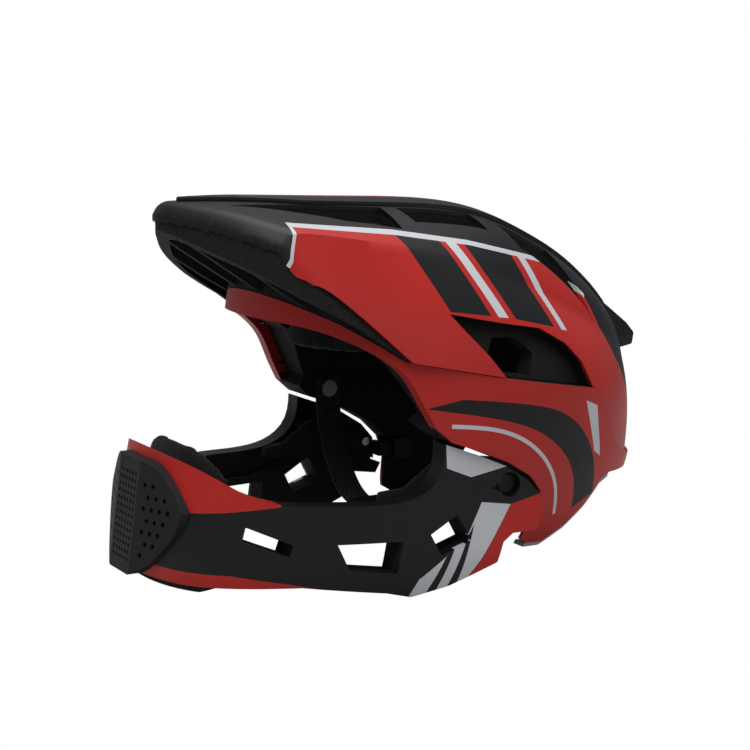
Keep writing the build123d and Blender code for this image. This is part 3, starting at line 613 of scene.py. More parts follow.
@once
def beaded(name, colour, bead):
    """Expanded foam: beads pressed flat against the mould, with dark lines between them."""
    material, tree, shader, place = blank(name, 0.8)
    cells = texture(tree, place, "Voronoi", Scale=1 / bead, feature="DISTANCE_TO_EDGE")
    tone = texture(tree, place, "Voronoi", Scale=1 / bead)
    grey = node(tree, "ShaderNodeRGBToBW", Color=tone.outputs["Color"])
    mixed = node(tree, "ShaderNodeMix", data_type="RGBA", blend_type="MULTIPLY")
    mixed.inputs[0].default_value = 0.2
    bead_shade = ramped(tree, cells.outputs["Distance"], colour, shades=(0.75, 1.25), positions=(0, 0.15))
    tree.links.new(bead_shade, mixed.inputs[6])
    tree.links.new(grey.outputs["Val"], mixed.inputs[7])
    tree.links.new(mixed.outputs[2], shader.inputs["Base Color"])
    tree.links.new(ranged(tree, tone.outputs["Distance"], 0.6, 0.9), shader.inputs["Roughness"])
    bumped(tree, shader, ranged(tree, cells.outputs["Distance"], 0.0, 1.0), distance=0.0003, strength=0.5)
    return material


def crossed_waves(tree, place, pitch, directions, distortion=0.0):
    """The height of two sets of ribs that cross."""
    woven_height = node(tree, "ShaderNodeMath", operation="MULTIPLY")
    for index, direction in enumerate(directions):
        wave = texture(tree, place, "Wave", Scale=WAVES_PER_PITCH / pitch, bands_direction=direction)
        wave.inputs["Distortion"].default_value = distortion
        tree.links.new(wave.outputs["Fac"], woven_height.inputs[index])
    return woven_height.outputs[0]


@once
def knitted(name, colour, pitch=0.0011):
    """Brushed knit of the pads: rows of loops under a soft nap."""
    material, tree, shader, place = blank(name, 0.9, **{"Sheen Weight": 0.08, "Sheen Roughness": 0.5})
    shaded(tree, place, shader, colour, scale=60.0, low=0.7, high=1.5)
    loops = crossed_waves(tree, place, pitch, ("X", "Z"), distortion=1.2)
    bumped(tree, shader, loops, distance=0.0003, strength=0.8)
    return material


@once
def woven(name, colour, pitch=0.0014):
    """Ribbed polyester webbing."""
    material, tree, shader, place = blank(name, 0.75, **{"Sheen Weight": 0.2})
    shaded(tree, place, shader, colour, scale=300.0, low=0.6, high=1.6)
    ribs = crossed_waves(tree, place, pitch, ("Y", "DIAGONAL"))
    bumped(tree, shader, ribs, distance=0.0004, strength=0.9)
    return material


@once
def brushed(name):
    """Bright screw steel with turning lines."""
    material, tree, shader, place = blank(name, 0.35, Metallic=1.0)
    shaded(tree, place, shader, STEEL, scale=500.0, low=0.8, high=1.1)
    lines = texture(tree, place, "Noise", Scale=1500.0, Detail=3.0)
    bumped(tree, shader, lines.outputs["Fac"], distance=0.00003, strength=0.5)
    return material


def red():
    """The main paint."""
    return paint("red_satin_paint", colours().red)


def black():
    """The dark paint, a little duller."""
    return paint("black_satin_paint", colours().black, low_rough=0.42, high_rough=0.55)


def pale():
    """The light paint."""
    return paint("pale_grey_paint", colours().pale)


def raw():
    """The shells where they are not painted."""
    return moulded("unpainted_black_shell", colours().black, grain=1200.0, roughness=0.65)


def foam():
    """The foam of all liners."""
    return beaded("beaded_foam", colours().foam, sizes().bead)


# Outlines, as shares of the length and height in the side view and of the half width and length from above

# Side views, along and up
VISOR_EDGE = [
    (-0.461, 0.99), (-0.385, 0.971), (-0.33, 0.917), (-0.273, 0.84), (-0.23, 0.777), (-0.179, 0.704),
    (-0.118, 0.612),
]
SEAM = [(0.042, 0.558), (0.252, 0.495), (0.3, 0.388), (0.327, 0.32), (0.391, 0.267), (0.54, 0.255)]
BROW = [(-0.333, 0.825), (-0.2, 0.704), (-0.118, 0.612)]
EYEPORT = [
    (-0.333, 0.694), (-0.255, 0.694), (-0.212, 0.675), (-0.164, 0.636), (-0.121, 0.578), (-0.094, 0.5),
    (-0.073, 0.437),
]
ARCH = [
    (-0.045, 0.398), (0.012, 0.364), (0.061, 0.33), (0.106, 0.286), (0.133, 0.238), (0.139, 0.184),
    (0.124, 0.117), (0.121, 0.097),
]
LOBE = [
    (0.139, 0.078), (0.176, 0.073), (0.224, 0.112), (0.261, 0.165), (0.291, 0.228), (0.315, 0.24),
    (0.394, 0.228), (0.54, 0.22),
]
SIDE_VENT = [
    (-0.039, 0.723), (0.061, 0.689), (0.142, 0.665), (0.197, 0.617), (0.227, 0.568), (0.252, 0.48),
    (0.055, 0.54), (0.021, 0.612), (-0.015, 0.675),
]
VENT_HOLE = [(0.03, 0.60), (0.06, 0.56), (0.115, 0.545), (0.13, 0.60), (0.10, 0.645), (0.05, 0.65)]
VISOR_UNDER = [
    (-0.53, 1.01), (-0.424, 0.935), (-0.27, 0.77), (-0.2, 0.704), (-0.118, 0.612), (0, 0.57),
]
SPOILER = [
    (0.37, 0.73), (0.43, 0.66), (0.475, 0.605), (0.492, 0.575), (0.488, 0.54), (0.45, 0.53), (0.40, 0.50),
]
CHIN_RIM = [
    (-0.455, 0.383), (-0.424, 0.355), (-0.367, 0.296), (-0.318, 0.267), (-0.239, 0.257), (-0.152, 0.252),
    (-0.091, 0.272), (-0.067, 0.301), (-0.055, 0.34), (-0.052, 0.392),
]
ARM_TOP = [
    (0.012, 0.353), (0.06, 0.319), (0.102, 0.276), (0.127, 0.231), (0.132, 0.187), (0.116, 0.141),
]
ARM_LOW = [
    (0.07, 0.141), (0.052, 0.121), (0.042, 0.068), (-0.045, 0.019), (-0.109, 0.0), (-0.152, 0.019),
    (-0.288, 0.053), (-0.403, 0.058), (-0.53, 0.058),
]
CHIN_VENTS = [
    [(-0.376, 0.18), (-0.309, 0.136), (-0.303, 0.165), (-0.37, 0.214)],
    [(-0.236, 0.16), (-0.13, 0.155), (-0.139, 0.073), (-0.218, 0.092)],
    [(-0.082, 0.165), (-0.033, 0.209), (-0.009, 0.136), (-0.064, 0.107)],
]
CHIN_FRONT = (-0.53, 0.383)
LEDGE_RUN = slice(2, 10)  # the stretch of the rim that the ledge follows
SCOOP = [(0.03, 0.265), (0.07, 0.296), (0.08, 0.27), (0.07, 0.245)]

# Top views of the left side, out and along
CHANNELS = [
    [(0.23, -0.33), (0.40, -0.235), (0.49, -0.16), (0.51, -0.06), (0.23, -0.055), (0.21, -0.19)],
    [(0.23, -0.025), (0.42, -0.02), (0.38, 0.13), (0.22, 0.12)],
    [(0.25, 0.17), (0.43, 0.185), (0.52, 0.32), (0.41, 0.29), (0.26, 0.27)],
]
SLOTS = [
    [(0.27, -0.17), (0.44, -0.16), (0.48, -0.075), (0.26, -0.07)],
    [(0.26, -0.005), (0.38, -0.005), (0.35, 0.10), (0.25, 0.10)],
    [(0.28, 0.19), (0.40, 0.205), (0.41, 0.26), (0.28, 0.25)],
]
BAND = [
    (0, -0.39), (0.08, -0.31), (0.205, -0.19), (0.20, 0.16), (0.17, 0.40), (0.16, 0.5), (0, 0.5),
]
# The visor's plan as shares of its own sizes, and its ribs, out at the lip and at the brow
VISOR_NOSE = [(1.0, 0.0), (0.92, 0.36), (0.79, 0.59), (0.50, 0.805), (0.26, 0.92), (0.0, 1.005)]
RIB_LANES = [(-0.16, -0.12), (0.16, 0.12), (0.54, 0.46), (1.3, 1.2)]
NOSE_POINTS = 80


def visor_plan(inset=0):
    """Plan outline of the visor, run on to the rear."""
    nose = [
        (
            drawn_in(out * VISOR_HALF_WIDTH, 0, VISOR_HALF_WIDTH, inset),
            drawn_in(VISOR_MIDDLE - along * VISOR_REACH, VISOR_MIDDLE, VISOR_REACH, inset),
        )
        for out, along in VISOR_NOSE
    ]
    line = along_curve(nose + [(-out, along) for out, along in nose[-2::-1]], NOSE_POINTS)
    wide = HALF_WIDTH + FAR
    return [*map(tuple, line), (-wide, VISOR_MIDDLE), (-wide, BACK), (wide, BACK), (wide, VISOR_MIDDLE)]


def drooped(piece, foot=None):
    """The piece with the visor's edge rolled down round the nose; a foot line, if given, stays put."""
    edge = along_curve(np.array(visor_plan()[:NOSE_POINTS]), 600)
    spots = vertex_places(piece) / MM
    ahead = np.flatnonzero(spots[:, 1] < VISOR_MIDDLE)
    gap = np.array([np.hypot(*(edge - spot[:2]).T).min() for spot in spots[ahead]])
    share = np.clip((NOSE_ROLL_START - spots[ahead, 1]) / NOSE_ROLL_RUN, 0, 1)
    fall = NOSE_ROLL - np.sqrt(NOSE_ROLL**2 - np.clip(NOSE_ROLL - gap, 0, NOSE_ROLL) ** 2)
    fall *= share * share * (3 - 2 * share)
    if foot:
        under = np.interp(spots[ahead, 1], *zip(*foot))
        fall *= np.clip((spots[ahead, 2] - under) / (NOSE_TOP - under), 0, 1)
    spots[ahead, 2] -= fall
    move_vertices(piece, spots * MM)
    return piece


def upper_shell_solid():
    """The visor and the crown, one wall thick, with the side vents and the top channels open."""
    wall = sizes().shell_wall / MM
    shell = rows_solid("upper", upper_rows(0))
    carve(shell, rows_solid("inside", upper_rows(wall)))
    region = side_prism(side_view(VISOR_EDGE + SEAM) + [(BACK, TOP), (FRONT, TOP)])
    common(region, plan_prism(visor_plan()))
    carve(region, side_prism(side_view(SIDE_VENT)))
    for outline in CHANNELS:
        for tool in plan_prisms(top_view(outline)):
            carve(region, tool)
    return common(shell, region)


def crown_band_solid():
    """The raised band along the middle of the crown."""
    band = rows_solid("band", upper_rows(-BAND_RISE))
    carve(band, rows_solid("inside", upper_rows(BAND_FOOT)))
    plan = top_view(BAND)
    outline = plan + [(-out, along) for out, along in plan[-2:0:-1]]
    common(band, plan_prism(outline, MIDDLE_Z))
    return softened(band)


def spoiler_solid():
    """The wedge at the rear."""
    wedge = prism("wedge", side_view(SPOILER), 0, -SPOILER_HALF_WIDTH, SPOILER_HALF_WIDTH)
    return softened(carve(wedge, rows_solid("inside", upper_rows(sizes().shell_wall / MM))), width=1.2)


class HELMET_OT_upper_shell(bpy.types.Operator):
    """Upper shell with the visor, crown band and rear spoiler"""

    bl_idname = "helmet.upper_shell"
    bl_label = "Upper shell"

    def execute(self, context):
        red_side = [
            (-150, 60), (-104, 176), (-92, 197), (-29, 189), (20, 181), (78, 167), (104, 146), (118, 112),
            (136, 82), (150, 40),
        ]
        upper_edge = [(-108, 170), (-93, 197), (-29, 190), (20, 182), (78, 168), (104, 147)]
        pinstripe = [(2.2, -94), (4.2, -92), (4.0, 120), (2.6, 120)]
        layers = [
            (red_side, red()),
            ([(-30, 191), (-12, 150), (14, 146), (-2, 188)], black()),
            ([(3, 185), (19, 145), (26, 144), (10, 184)], pale()),
            ([(15, 184), (31, 143), (60, 136), (48, 177)], black()),
            ([(54, 173), (66, 134), (71, 133), (60, 171)], pale()),
            (stripe(upper_edge, sizes().line_width / MM), pale()),
        ]
        shell = painted("upper_shell_painted", upper_shell_solid(), black(), layers)
        band = crown_band_solid()
        parts = split_by_material(shell)
        for side in (1, -1):
            tool = plan_prism([(side * out, along) for out, along in pinstripe], MIDDLE_Z)
            parts.append(dressed(common(twin(band), tool, keep=True), red()))
            carve(band, tool)
        parts += [dressed(band, black()), dressed(spoiler_solid(), black())]
        finished(drooped(joined("upper_shell_look", parts)), "upper_shell", "helmet")
        return {"FINISHED"}


class HELMET_OT_lower_shell(bpy.types.Operator):
    """Lower shell with its thick rim round the eyeport"""

    bl_idname = "helmet.lower_shell"
    bl_label = "Lower shell"

    def execute(self, context):
        wall = sizes().shell_wall / MM
        rim = curved(side_view(EYEPORT))
        rim_strip = side_prism(rim + [(along + RIM_WIDTH, up + RIM_WIDTH) for along, up in rim[::-1]])
        hollow = carve(rows_solid("hollow", lower_rows(wall)), rim_strip)
        shell = carve(rows_solid("lower", lower_rows(0)), hollow)
        carve(shell, rows_solid("inside", lower_rows(RIM_WALL)))
        seam = [(along, up - SEAM_GAP) for along, up in side_view(BROW + SEAM)]
        common(shell, side_prism(seam + (rim + side_view(ARCH + LOBE))[::-1]))
        swoosh_top = curved([(-30, 101), (10, 93), (44, 80), (66, 58), (74, 33)])
        swoosh_foot = curved([(90, 40), (82, 66), (62, 88), (30, 99), (-10, 105)])
        thin_line = curved([(-16, 91), (12, 86.5), (38, 73), (53, 54), (60, 32)])
        layers = [
            (swoosh_top + swoosh_foot, black()),
            (stripe(thin_line, THIN_LINE), pale()),
            ([(74, 96), (84, 92), (90, 62), (84, 66)], pale()),
        ]
        whole = plain_inside(painted("lower_shell_look", shell, red(), layers), raw(), top=0.095)
        finished(whole, "lower_shell", "helmet")
        return {"FINISHED"}


class HELMET_OT_foam(bpy.types.Operator):
    """Foam liners and the foam ribs under the visor"""

    bl_idname = "helmet.foam"
    bl_label = "Foam"

    def execute(self, context):
        skin = sizes().shell_wall / MM + FOAM_GAP
        liner = rows_solid("liner", upper_rows(skin))
        common(liner, rows_solid("cutter", lower_rows(0, tall=True)))
        trim = side_prism(side_view(BROW + SEAM) + [(BACK, TOP), (FRONT, TOP)])
        carve(trim, side_prism(side_view(VENT_HOLE)))
        for outline in SLOTS:
            for tool in plan_prisms(top_view(outline)):
                carve(trim, tool)
        common(liner, trim)
        carve(liner, rows_solid("head", head_rows()))
        floor = rows_solid("floor", upper_rows(skin + VENT_DEPTH))
        tools = [side_prism(side_view(SIDE_VENT))]
        for outline in CHANNELS:
            tools += plan_prisms(top_view(outline))
        for tool in tools:
            carve(liner, carve(tool, floor, keep=True))
        drop(floor)
        finished(dressed(liner, foam()), "upper_liner", "helmet")
        finished(dressed(self.visor_foam(skin), foam()), "visor_foam", "helmet")
        return {"FINISHED"}

    def visor_foam(self, skin):
        """The foam under the visor, with its ribs left between deep channels."""
        block = rows_solid("visor_foam_look", upper_rows(skin))
        carve(block, rows_solid("cutter", lower_rows(-VISOR_FOAM_INSET, tall=True)))
        common(block, plan_prism(visor_plan(VISOR_FOAM_INSET)))
        common(block, side_prism(side_view(VISOR_UNDER) + [(0, TOP), (FRONT, TOP)]))
        roof = rows_solid("roof", upper_rows(skin + VISOR_FOAM_ROOF))
        for (lip_in, brow_in), (lip_out, brow_out) in zip(RIB_LANES, RIB_LANES[1:]):
            outline = [
                (lip_in * HALF_WIDTH + HALF_RIB, LANE_LIP_Y),
                (lip_out * HALF_WIDTH - HALF_RIB, LANE_LIP_Y),
                (brow_out * HALF_WIDTH - HALF_RIB, VISOR_MIDDLE),
                (brow_in * HALF_WIDTH + HALF_RIB, VISOR_MIDDLE),
            ]
            for lane in plan_prisms(outline) if lip_in > 0 else [plan_prism(outline)]:
                common(lane, plan_prism(visor_plan(VISOR_LIP)))
                common(lane, roof, keep=True)
                carve(block, lane)
        drop(roof)
        return drooped(block, foot=side_view(VISOR_UNDER))


class HELMET_OT_chin_guard(bpy.types.Operator):
    """Chin guard shell with its ledge and vents"""

    bl_idname = "helmet.chin_guard"
    bl_label = "Chin guard"

    def execute(self, context):
        rim = side_view([CHIN_FRONT]) + curved(side_view(CHIN_RIM))
        hollow = rows_solid("hollow", chin_rows(CHIN_WALL))
        carve(hollow, side_prism(rim + [(along, up - LEDGE_FALL) for along, up in rim[::-1]]))
        shell = carve(rows_solid("chin", chin_rows(0)), hollow)
        carve(shell, rows_solid("inside", chin_rows(CHIN_INSIDE)))
        trim = side_prism(rim + side_view(ARM_TOP + ARM_LOW))
        for outline in CHIN_VENTS + [SCOOP]:
            carve(trim, side_prism(side_view(outline)))
        carve(trim, side_prism(round_outline(LATCH_Y, LATCH_Z, LATCH_RADIUS)))
        carve(trim, prism("cutter", self.mouth_outline(), 1, -LENGTH, 0))
        for side in (1, -1):
            carve(trim, self.ledge_cut(rim[LEDGE_RUN], side))
        common(shell, trim)
        layers = [
            ([(-170, 90), (-170, 68), (-150, 68), (-149, 64), (-145, 50), (-105, 54), (-98, 70)], red()),
            ([(-170, 20), (-170, -5), (-60, -5), (-84, 9), (-100, 13), (-130, 19)], red()),
            ([(-40, -5), (-33, 10), (-6, 30), (4, 48), (22, 45), (4, 18), (-14, -5)], pale()),
            ([(22, 45), (60, 52), (60, -5), (-14, -5), (4, 18)], red()),
            ([(-16.3, 90), (-16.3, 68), (-2, 62), (36, 68), (36, 90)], pale()),
            ([(-31, -5), (-18, 21), (-13, 25), (-25, -5)], black()),
            ([(-19, -5), (-5, 31), (-1, 37), (-13, -5)], black()),
        ]
        whole = plain_inside(painted("chin_shell_look", shell, black(), layers), raw())
        # The ledge's up-facing faces get a lighter grey: painted light on its top.
        self.ledge_painted_light(whole)
        finished(whole, "chin_shell", "chin_guard")
        return {"FINISHED"}

    def mouth_outline(self):
        """Front view of the mouth opening, a rectangle with round corners."""
        quarters = ((1, 1, 0), (-1, 1, 1), (-1, -1, 2), (1, -1, 3))
        return [
            (
                out * (MOUTH_HALF_WIDTH - MOUTH_CORNER) + MOUTH_CORNER * math.cos(a),
                MOUTH_Z + up * (MOUTH_HALF_HEIGHT - MOUTH_CORNER) + MOUTH_CORNER * math.sin(a),
            )
            for out, up, start in quarters
            for a in np.linspace(start, start + 1, 8) * math.pi / 2
        ]

    def ledge_painted_light(self, shell):
        """Painted light: the ledge's up-facing faces that had the dark paint get a lighter grey moulded skin,
        standing in for the light that falls on its top.
        """
        dark = shell.data.materials.find(black().name)
        shell.data.materials.append(moulded("smooth_grey_ledge", LEDGE_PAINTED_LIGHT, grain=900.0, roughness=0.5))
        for face in shell.data.polygons:
            sloped = abs(face.normal.x) > 0.35 and face.normal.z > 0.4
            if face.material_index == dark and sloped:
                face.material_index = len(shell.data.materials) - 1

    def ledge_cut(self, line, side):
        """The wedge over the sloped ledge on one side; its foot drops as it goes out."""
        rows = []
        for out, fall in ((LEDGE_INNER, 0), (LEDGE_OUTER, LEDGE_OUTER - LEDGE_INNER)):
            foot = [(side * out, along, up - fall) for along, up in line]
            rows.append(foot + [(side * out, line[-1][0], TOP), (side * out, line[0][0], TOP)])
        return rows_solid("cutter", np.array(rows))


def kept_node(name, material):
    """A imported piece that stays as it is, with a finished material."""
    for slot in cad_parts[name].material_slots:
        slot.material = material


def copied_node(name, label):
    """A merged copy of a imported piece."""
    piece = placed(label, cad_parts[name].data.copy())
    sheet = bmesh.new()
    sheet.from_mesh(piece.data)
    bmesh.ops.remove_doubles(sheet, verts=sheet.verts, dist=0.00001)
    sheet.to_mesh(piece.data)
    sheet.free()
    return piece


PAD_GRID, PAD_PRESSURE, PAD_SWELL, SETTLING_STEPS = 0.003, 2, 0.0012, 12


class HELMET_OT_pads(bpy.types.Operator):
    """Soft pads, swelled a little by their foam"""

    bl_idname = "helmet.pads"
    bl_label = "Pads"

    def execute(self, context):
        groups = {
            "helmet": ["forehead_pad", "side_pad_left", "side_pad_right", "crown_pad", "nape_pad"],
            "chin_guard": ["chin_pad", "jaw_pad_left", "jaw_pad_right"],
        }
        material = knitted("brushed_pad_knit", colours().pad)
        for body, names in groups.items():
            for name in names:
                pad = self.swelled(name)
                dressed(pad, material)
                finished(pad, name, body, angle=80)
        return {"FINISHED"}

    def swelled(self, name):
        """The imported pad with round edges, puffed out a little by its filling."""
        pad = copied_node(name, name + "_soft")
        pad.data.materials.clear()
        remesh = pad.modifiers.new("remesh", "REMESH")
        remesh.mode, remesh.voxel_size = "VOXEL", PAD_GRID
        applied(pad)
        smooth = pad.modifiers.new("round", "SMOOTH")
        smooth.factor, smooth.iterations = 0.5, 4
        applied(pad)
        start = vertex_places(pad)
        cloth = pad.modifiers.new("cloth", "CLOTH")
        cloth.settings.use_pressure = True
        cloth.settings.uniform_pressure_force = PAD_PRESSURE
        cloth.settings.effector_weights.gravity = 0
        cloth.settings.quality = 4
        scene = bpy.context.scene
        for step in range(1, SETTLING_STEPS + 1):
            scene.frame_set(step)
        applied(pad)
        scene.frame_set(1)
        shift = vertex_places(pad) - start
        size = np.linalg.norm(shift, axis=1, keepdims=True)
        shift *= np.minimum(1, PAD_SWELL / np.maximum(size, 1e-9))
        move_vertices(pad, start + shift)
        return pad


def stitch_tree():
    """Nodes that lay short round stitches along the edges of a mesh line."""
    if "stitches" in bpy.data.node_groups:
        return bpy.data.node_groups["stitches"]
    tree = bpy.data.node_groups.new("stitches", "GeometryNodeTree")
    for name, kind, way in (
        ("Line", "Geometry", "INPUT"),
        ("Pitch", "Float", "INPUT"),
        ("Stitch length", "Float", "INPUT"),
        ("Thread radius", "Float", "INPUT"),
        ("Thread", "Material", "INPUT"),
        ("Stitches", "Geometry", "OUTPUT"),
    ):
        tree.interface.new_socket(name, in_out=way, socket_type="NodeSocket" + kind)
    given = node(tree, "NodeGroupInput").outputs
    curve = node(tree, "GeometryNodeMeshToCurve", Mesh=given["Line"]).outputs["Curve"]
    places = node(tree, "GeometryNodeCurveToPoints", mode="LENGTH", Curve=curve, Length=given["Pitch"])
    size = {"Depth": given["Stitch length"], "Radius": given["Thread radius"]}
    thread = node(tree, "GeometryNodeMeshCylinder", Vertices=6, **size).outputs["Mesh"]
    laid = node(tree, "GeometryNodeInstanceOnPoints", Points=places.outputs["Points"], Instance=thread)
    tree.links.new(places.outputs["Rotation"], laid.inputs["Rotation"])
    real = node(tree, "GeometryNodeRealizeInstances", Geometry=laid.outputs["Instances"])
    dyed = node(tree, "GeometryNodeSetMaterial", Geometry=real.outputs["Geometry"], Material=given["Thread"])
    node(tree, "NodeGroupOutput", Stitches=dyed.outputs["Geometry"])
    return tree


def stitched(name, points, material):
    """Stitches along a closed line of points, as a plain mesh."""
    mesh = bpy.data.meshes.new(name)
    count = len(points)
    mesh.from_pydata((np.asarray(points) * MM).tolist(), [(i, (i + 1) % count) for i in range(count)], [])
    piece = placed(name, mesh)
    tree = stitch_tree()
    rows = piece.modifiers.new("stitches", "NODES")
    rows.node_group = tree
    names = {item.name: item.identifier for item in tree.interface.items_tree if item.in_out == "INPUT"}
    rows[names["Pitch"]] = sizes().stitch_pitch
    rows[names["Stitch length"]] = sizes().stitch_pitch * STITCH_LENGTH_SHARE
    rows[names["Thread radius"]] = THREAD_RADIUS
    rows[names["Thread"]] = material
    return dressed(applied(piece), material)


# Half of the band's section, wide and high, as shares of its half width and half wall; the rest mirrors it
BAND_EDGE = [(-1, 0), (-0.98, 0.9), (-0.9, 1.15), (-0.8, 1), (0, 1), (0.8, 1), (0.9, 1.15), (0.98, 0.9)]
BAND_SECTION = BAND_EDGE + [(-wide, -high) for wide, high in BAND_EDGE]
STITCH_ROW_SHARE, STITCH_LENGTH_SHARE, THREAD_RISE, THREAD_RADIUS = 0.72, 0.7, 0.15, 0.0003
STITCHED_RUNS = [(2, 13), (44, 58)]
STRAP_BEND = ("buckle_tongue", (-0.058, -0.002, 0.051), (-0.036, -0.002, 0.0272))


class HELMET_OT_straps(bpy.types.Operator):
    """Strap webbing from the anchors to the buckle, with its stitched ends"""

    bl_idname = "helmet.straps"
    bl_label = "Straps"

    def execute(self, context):
        webbing = woven("black_webbing", WEBBING)
        thread = woven("grey_thread", THREAD, pitch=0.0006)
        for side, name in ((1, "strap_left"), (-1, "strap_right")):
            line = along_curve(np.array(STRAP_ROUTE) * [side, 1], 60)
            heading = np.gradient(line, axis=0)
            heading /= np.linalg.norm(heading, axis=1)[:, None]
            outward = np.c_[-heading[:, 1], heading[:, 0]]
            parts = [dressed(self.band(name, line, outward), webbing)]
            for first, last in STITCHED_RUNS:
                for face in (1, -1):
                    parts.append(stitched("stitches", self.box(line, outward * face, first, last), thread))
            strap = joined(name + "_webbing", parts)
            finished(strap, name, "helmet", angle=50, bend=None if side > 0 else STRAP_BEND)
        return {"FINISHED"}

    def band(self, name, line, outward):
        """The flat band with its rounded, slightly thicker edges."""
        rows = []
        for (out, up), (away, rise) in zip(line, outward):
            rows.append([
                (
                    out + away * high * STRAP_HALF_WALL,
                    STRAP_MIDDLE + wide * STRAP_HALF_WIDTH,
                    up + rise * high * STRAP_HALF_WALL,
                )
                for wide, high in BAND_SECTION
            ])
        return rows_solid(name + "_band", np.array(rows))

    def box(self, line, outward, first, last):
        """A closed rectangle of stitches just over one face of the band."""
        points = []
        there, back = range(first, last + 1), range(last, first - 1, -1)
        for wide, places in ((STITCH_ROW_SHARE, there), (-STITCH_ROW_SHARE, back)):
            for i in places:
                out, up = line[i] + outward[i] * (STRAP_HALF_WALL + THREAD_RISE)
                points.append((out, STRAP_MIDDLE + wide * STRAP_HALF_WIDTH, up))
        return points


class HELMET_OT_fittings(bpy.types.Operator):
    """Mouth vent, latches, buckle, fit system, trim and small liners"""

    bl_idname = "helmet.fittings"
    bl_label = "Fittings"

    def execute(self, context):
        dark = moulded("black_moulded_plastic", PLASTIC)
        for name in ("mouth_vent", "buckle_socket", "buckle_tongue", "cradle", "adjuster_dial"):
            kept_node(name, dark)
        for name in ("latch_plate", "latch_button", "latch_socket", "band"):
            kept_node(name + "_left", dark)
            kept_node(name + "_right", dark)
        for name in ("lower_liner", "brow_foam", "chin_liner"):
            kept_node(name, foam())
        for name in ("strap_anchors", "plate_screws"):
            kept_node(name, brushed("turned_steel"))
        kept_node("lobe_trim", moulded("grey_edge_trim", EDGE_TRIM, grain=900.0, roughness=0.7))
        return {"FINISHED"}


# Name, place in metres, size and power of each lamp
LAMPS = [
    ("key", (0.55, -0.75, 1.35), 0.9, 10.5),
    ("fill", (1.3, 0.5, 0.7), 0.9, 1.6),
    ("top", (-0.2, 0.2, 1.5), 1.2, 15.0),
]
LAMP_AIM, FLOOR_HALF = (0, 0, 0.1), 6000
SKY, SKY_STRENGTH = (0.92, 0.94, 1.0, 1), 0.22
WHITE, FLOOR_GREY = (1, 1, 1, 1), (0.5, 0.5, 0.5, 1)
SENSOR, FOCAL_PIXELS, PHOTO_PIXELS = 36, 1858.5, 750
CAMERA_AIM, CAMERA_BACK, CAMERA_DISTANCE = (0, -0.008, 0.104), (0.854, -0.493, 0.165), 1.05


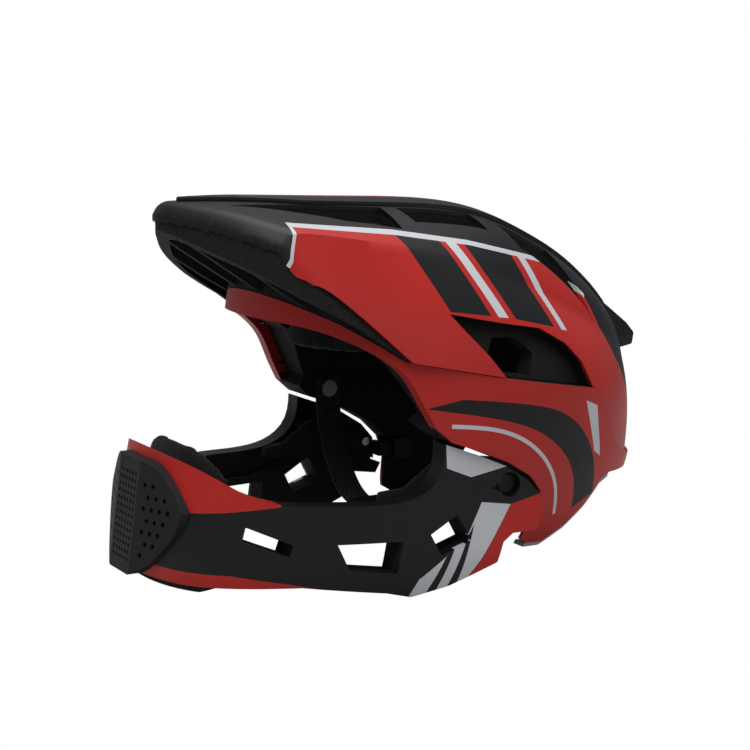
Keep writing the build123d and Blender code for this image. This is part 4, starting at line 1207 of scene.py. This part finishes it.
class HELMET_OT_stage(bpy.types.Operator):
    """Floor, lights and camera"""

    bl_idname = "helmet.stage"
    bl_label = "Stage"

    def execute(self, context):
        scene = context.scene
        scene.view_settings.view_transform = "Standard"
        world = bpy.data.worlds.new("studio")
        scene.world = world
        world.use_nodes = True
        tree = world.node_tree
        sky = tree.nodes["Background"]
        sky.inputs["Color"].default_value = SKY
        sky.inputs["Strength"].default_value = SKY_STRENGTH
        plain = node(tree, "ShaderNodeBackground", Color=WHITE, Strength=1.0)
        self.white_to_camera(tree, sky, plain, tree.nodes["World Output"])
        self.floor()
        for lamp in LAMPS:
            self.lamp(*lamp)
        camera = placed("camera", bpy.data.cameras.new("camera"))
        scene.camera = camera
        camera.data.sensor_width = SENSOR
        camera.data.lens = SENSOR * FOCAL_PIXELS / PHOTO_PIXELS
        camera.data.clip_start = 0.01
        back = Vector(CAMERA_BACK).normalized()
        camera.location = Vector(CAMERA_AIM) + back * CAMERA_DISTANCE
        camera.rotation_euler = (-back).to_track_quat("-Z", "Y").to_euler()
        return {"FINISHED"}

    def white_to_camera(self, tree, lit, plain, output):
        """The camera sees plain white where the piece gets the light of the lit shader."""
        camera_ray = node(tree, "ShaderNodeLightPath").outputs["Is Camera Ray"]
        mixed = node(tree, "ShaderNodeMixShader", Fac=camera_ray)
        tree.links.new(lit.outputs[0], mixed.inputs[1])
        tree.links.new(plain.outputs[0], mixed.inputs[2])
        tree.links.new(mixed.outputs[0], output.inputs["Surface"])

    def lamp(self, name, place, size, power):
        """A square lamp turned to the helmet's middle."""
        lamp = bpy.data.lights.new(name, "AREA")
        lamp.energy, lamp.size = power, size
        holder = placed(name, lamp)
        holder.location = place
        holder.rotation_euler = (Vector(LAMP_AIM) - Vector(place)).to_track_quat("-Z", "Y").to_euler()

    def floor(self):
        """A pale floor that the camera sees as white."""
        material = bpy.data.materials.new("pale_floor")
        material.use_nodes = True
        tree = material.node_tree
        shader = tree.nodes["Principled BSDF"]
        shader.inputs["Base Color"].default_value = FLOOR_GREY
        shader.inputs["Roughness"].default_value = 0.9
        glow = node(tree, "ShaderNodeEmission", Color=WHITE, Strength=1.0)
        self.white_to_camera(tree, shader, glow, tree.nodes["Material Output"])
        corners = [(x * FLOOR_HALF, y * FLOOR_HALF, 0) for x, y in ((-1, -1), (1, -1), (1, 1), (-1, 1))]
        floor = dressed(new_object("floor", corners, [(0, 1, 2, 3)]), material)


class HELMET_PT_panel(bpy.types.Panel):
    """Lists the pieces in the sidebar"""

    bl_label = "Full face helmet"
    bl_idname = "HELMET_PT_panel"
    bl_space_type = "VIEW_3D"
    bl_region_type = "UI"
    bl_category = "Helmet"

    def draw(self, context):
        for operator in OPERATORS:
            self.layout.operator(operator.bl_idname)
        for group in (context.scene.helmet_sizes, context.scene.helmet_colours):
            for name in group.__annotations__:
                self.layout.prop(group, name)


OPERATORS = (
    HELMET_OT_stage,
    HELMET_OT_upper_shell,
    HELMET_OT_lower_shell,
    HELMET_OT_foam,
    HELMET_OT_chin_guard,
    HELMET_OT_fittings,
    HELMET_OT_straps,
    HELMET_OT_pads,
)
CLASSES = (HelmetSizes, HelmetColours, *OPERATORS, HELMET_PT_panel)


def register():
    for made in CLASSES:
        bpy.utils.register_class(made)
    bpy.types.Scene.helmet_sizes = bpy.props.PointerProperty(type=HelmetSizes)
    bpy.types.Scene.helmet_colours = bpy.props.PointerProperty(type=HelmetColours)


def unregister():
    del bpy.types.Scene.helmet_sizes
    del bpy.types.Scene.helmet_colours
    for made in reversed(CLASSES):
        bpy.utils.unregister_class(made)


def main():
    register()
    bpy.ops.helmet.stage()
    bpy.ops.helmet.upper_shell()
    bpy.ops.helmet.lower_shell()
    bpy.ops.helmet.foam()
    bpy.ops.helmet.chin_guard()
    bpy.ops.helmet.fittings()
    bpy.ops.helmet.straps()
    bpy.ops.helmet.pads()


if __name__ == "__main__":
    main()
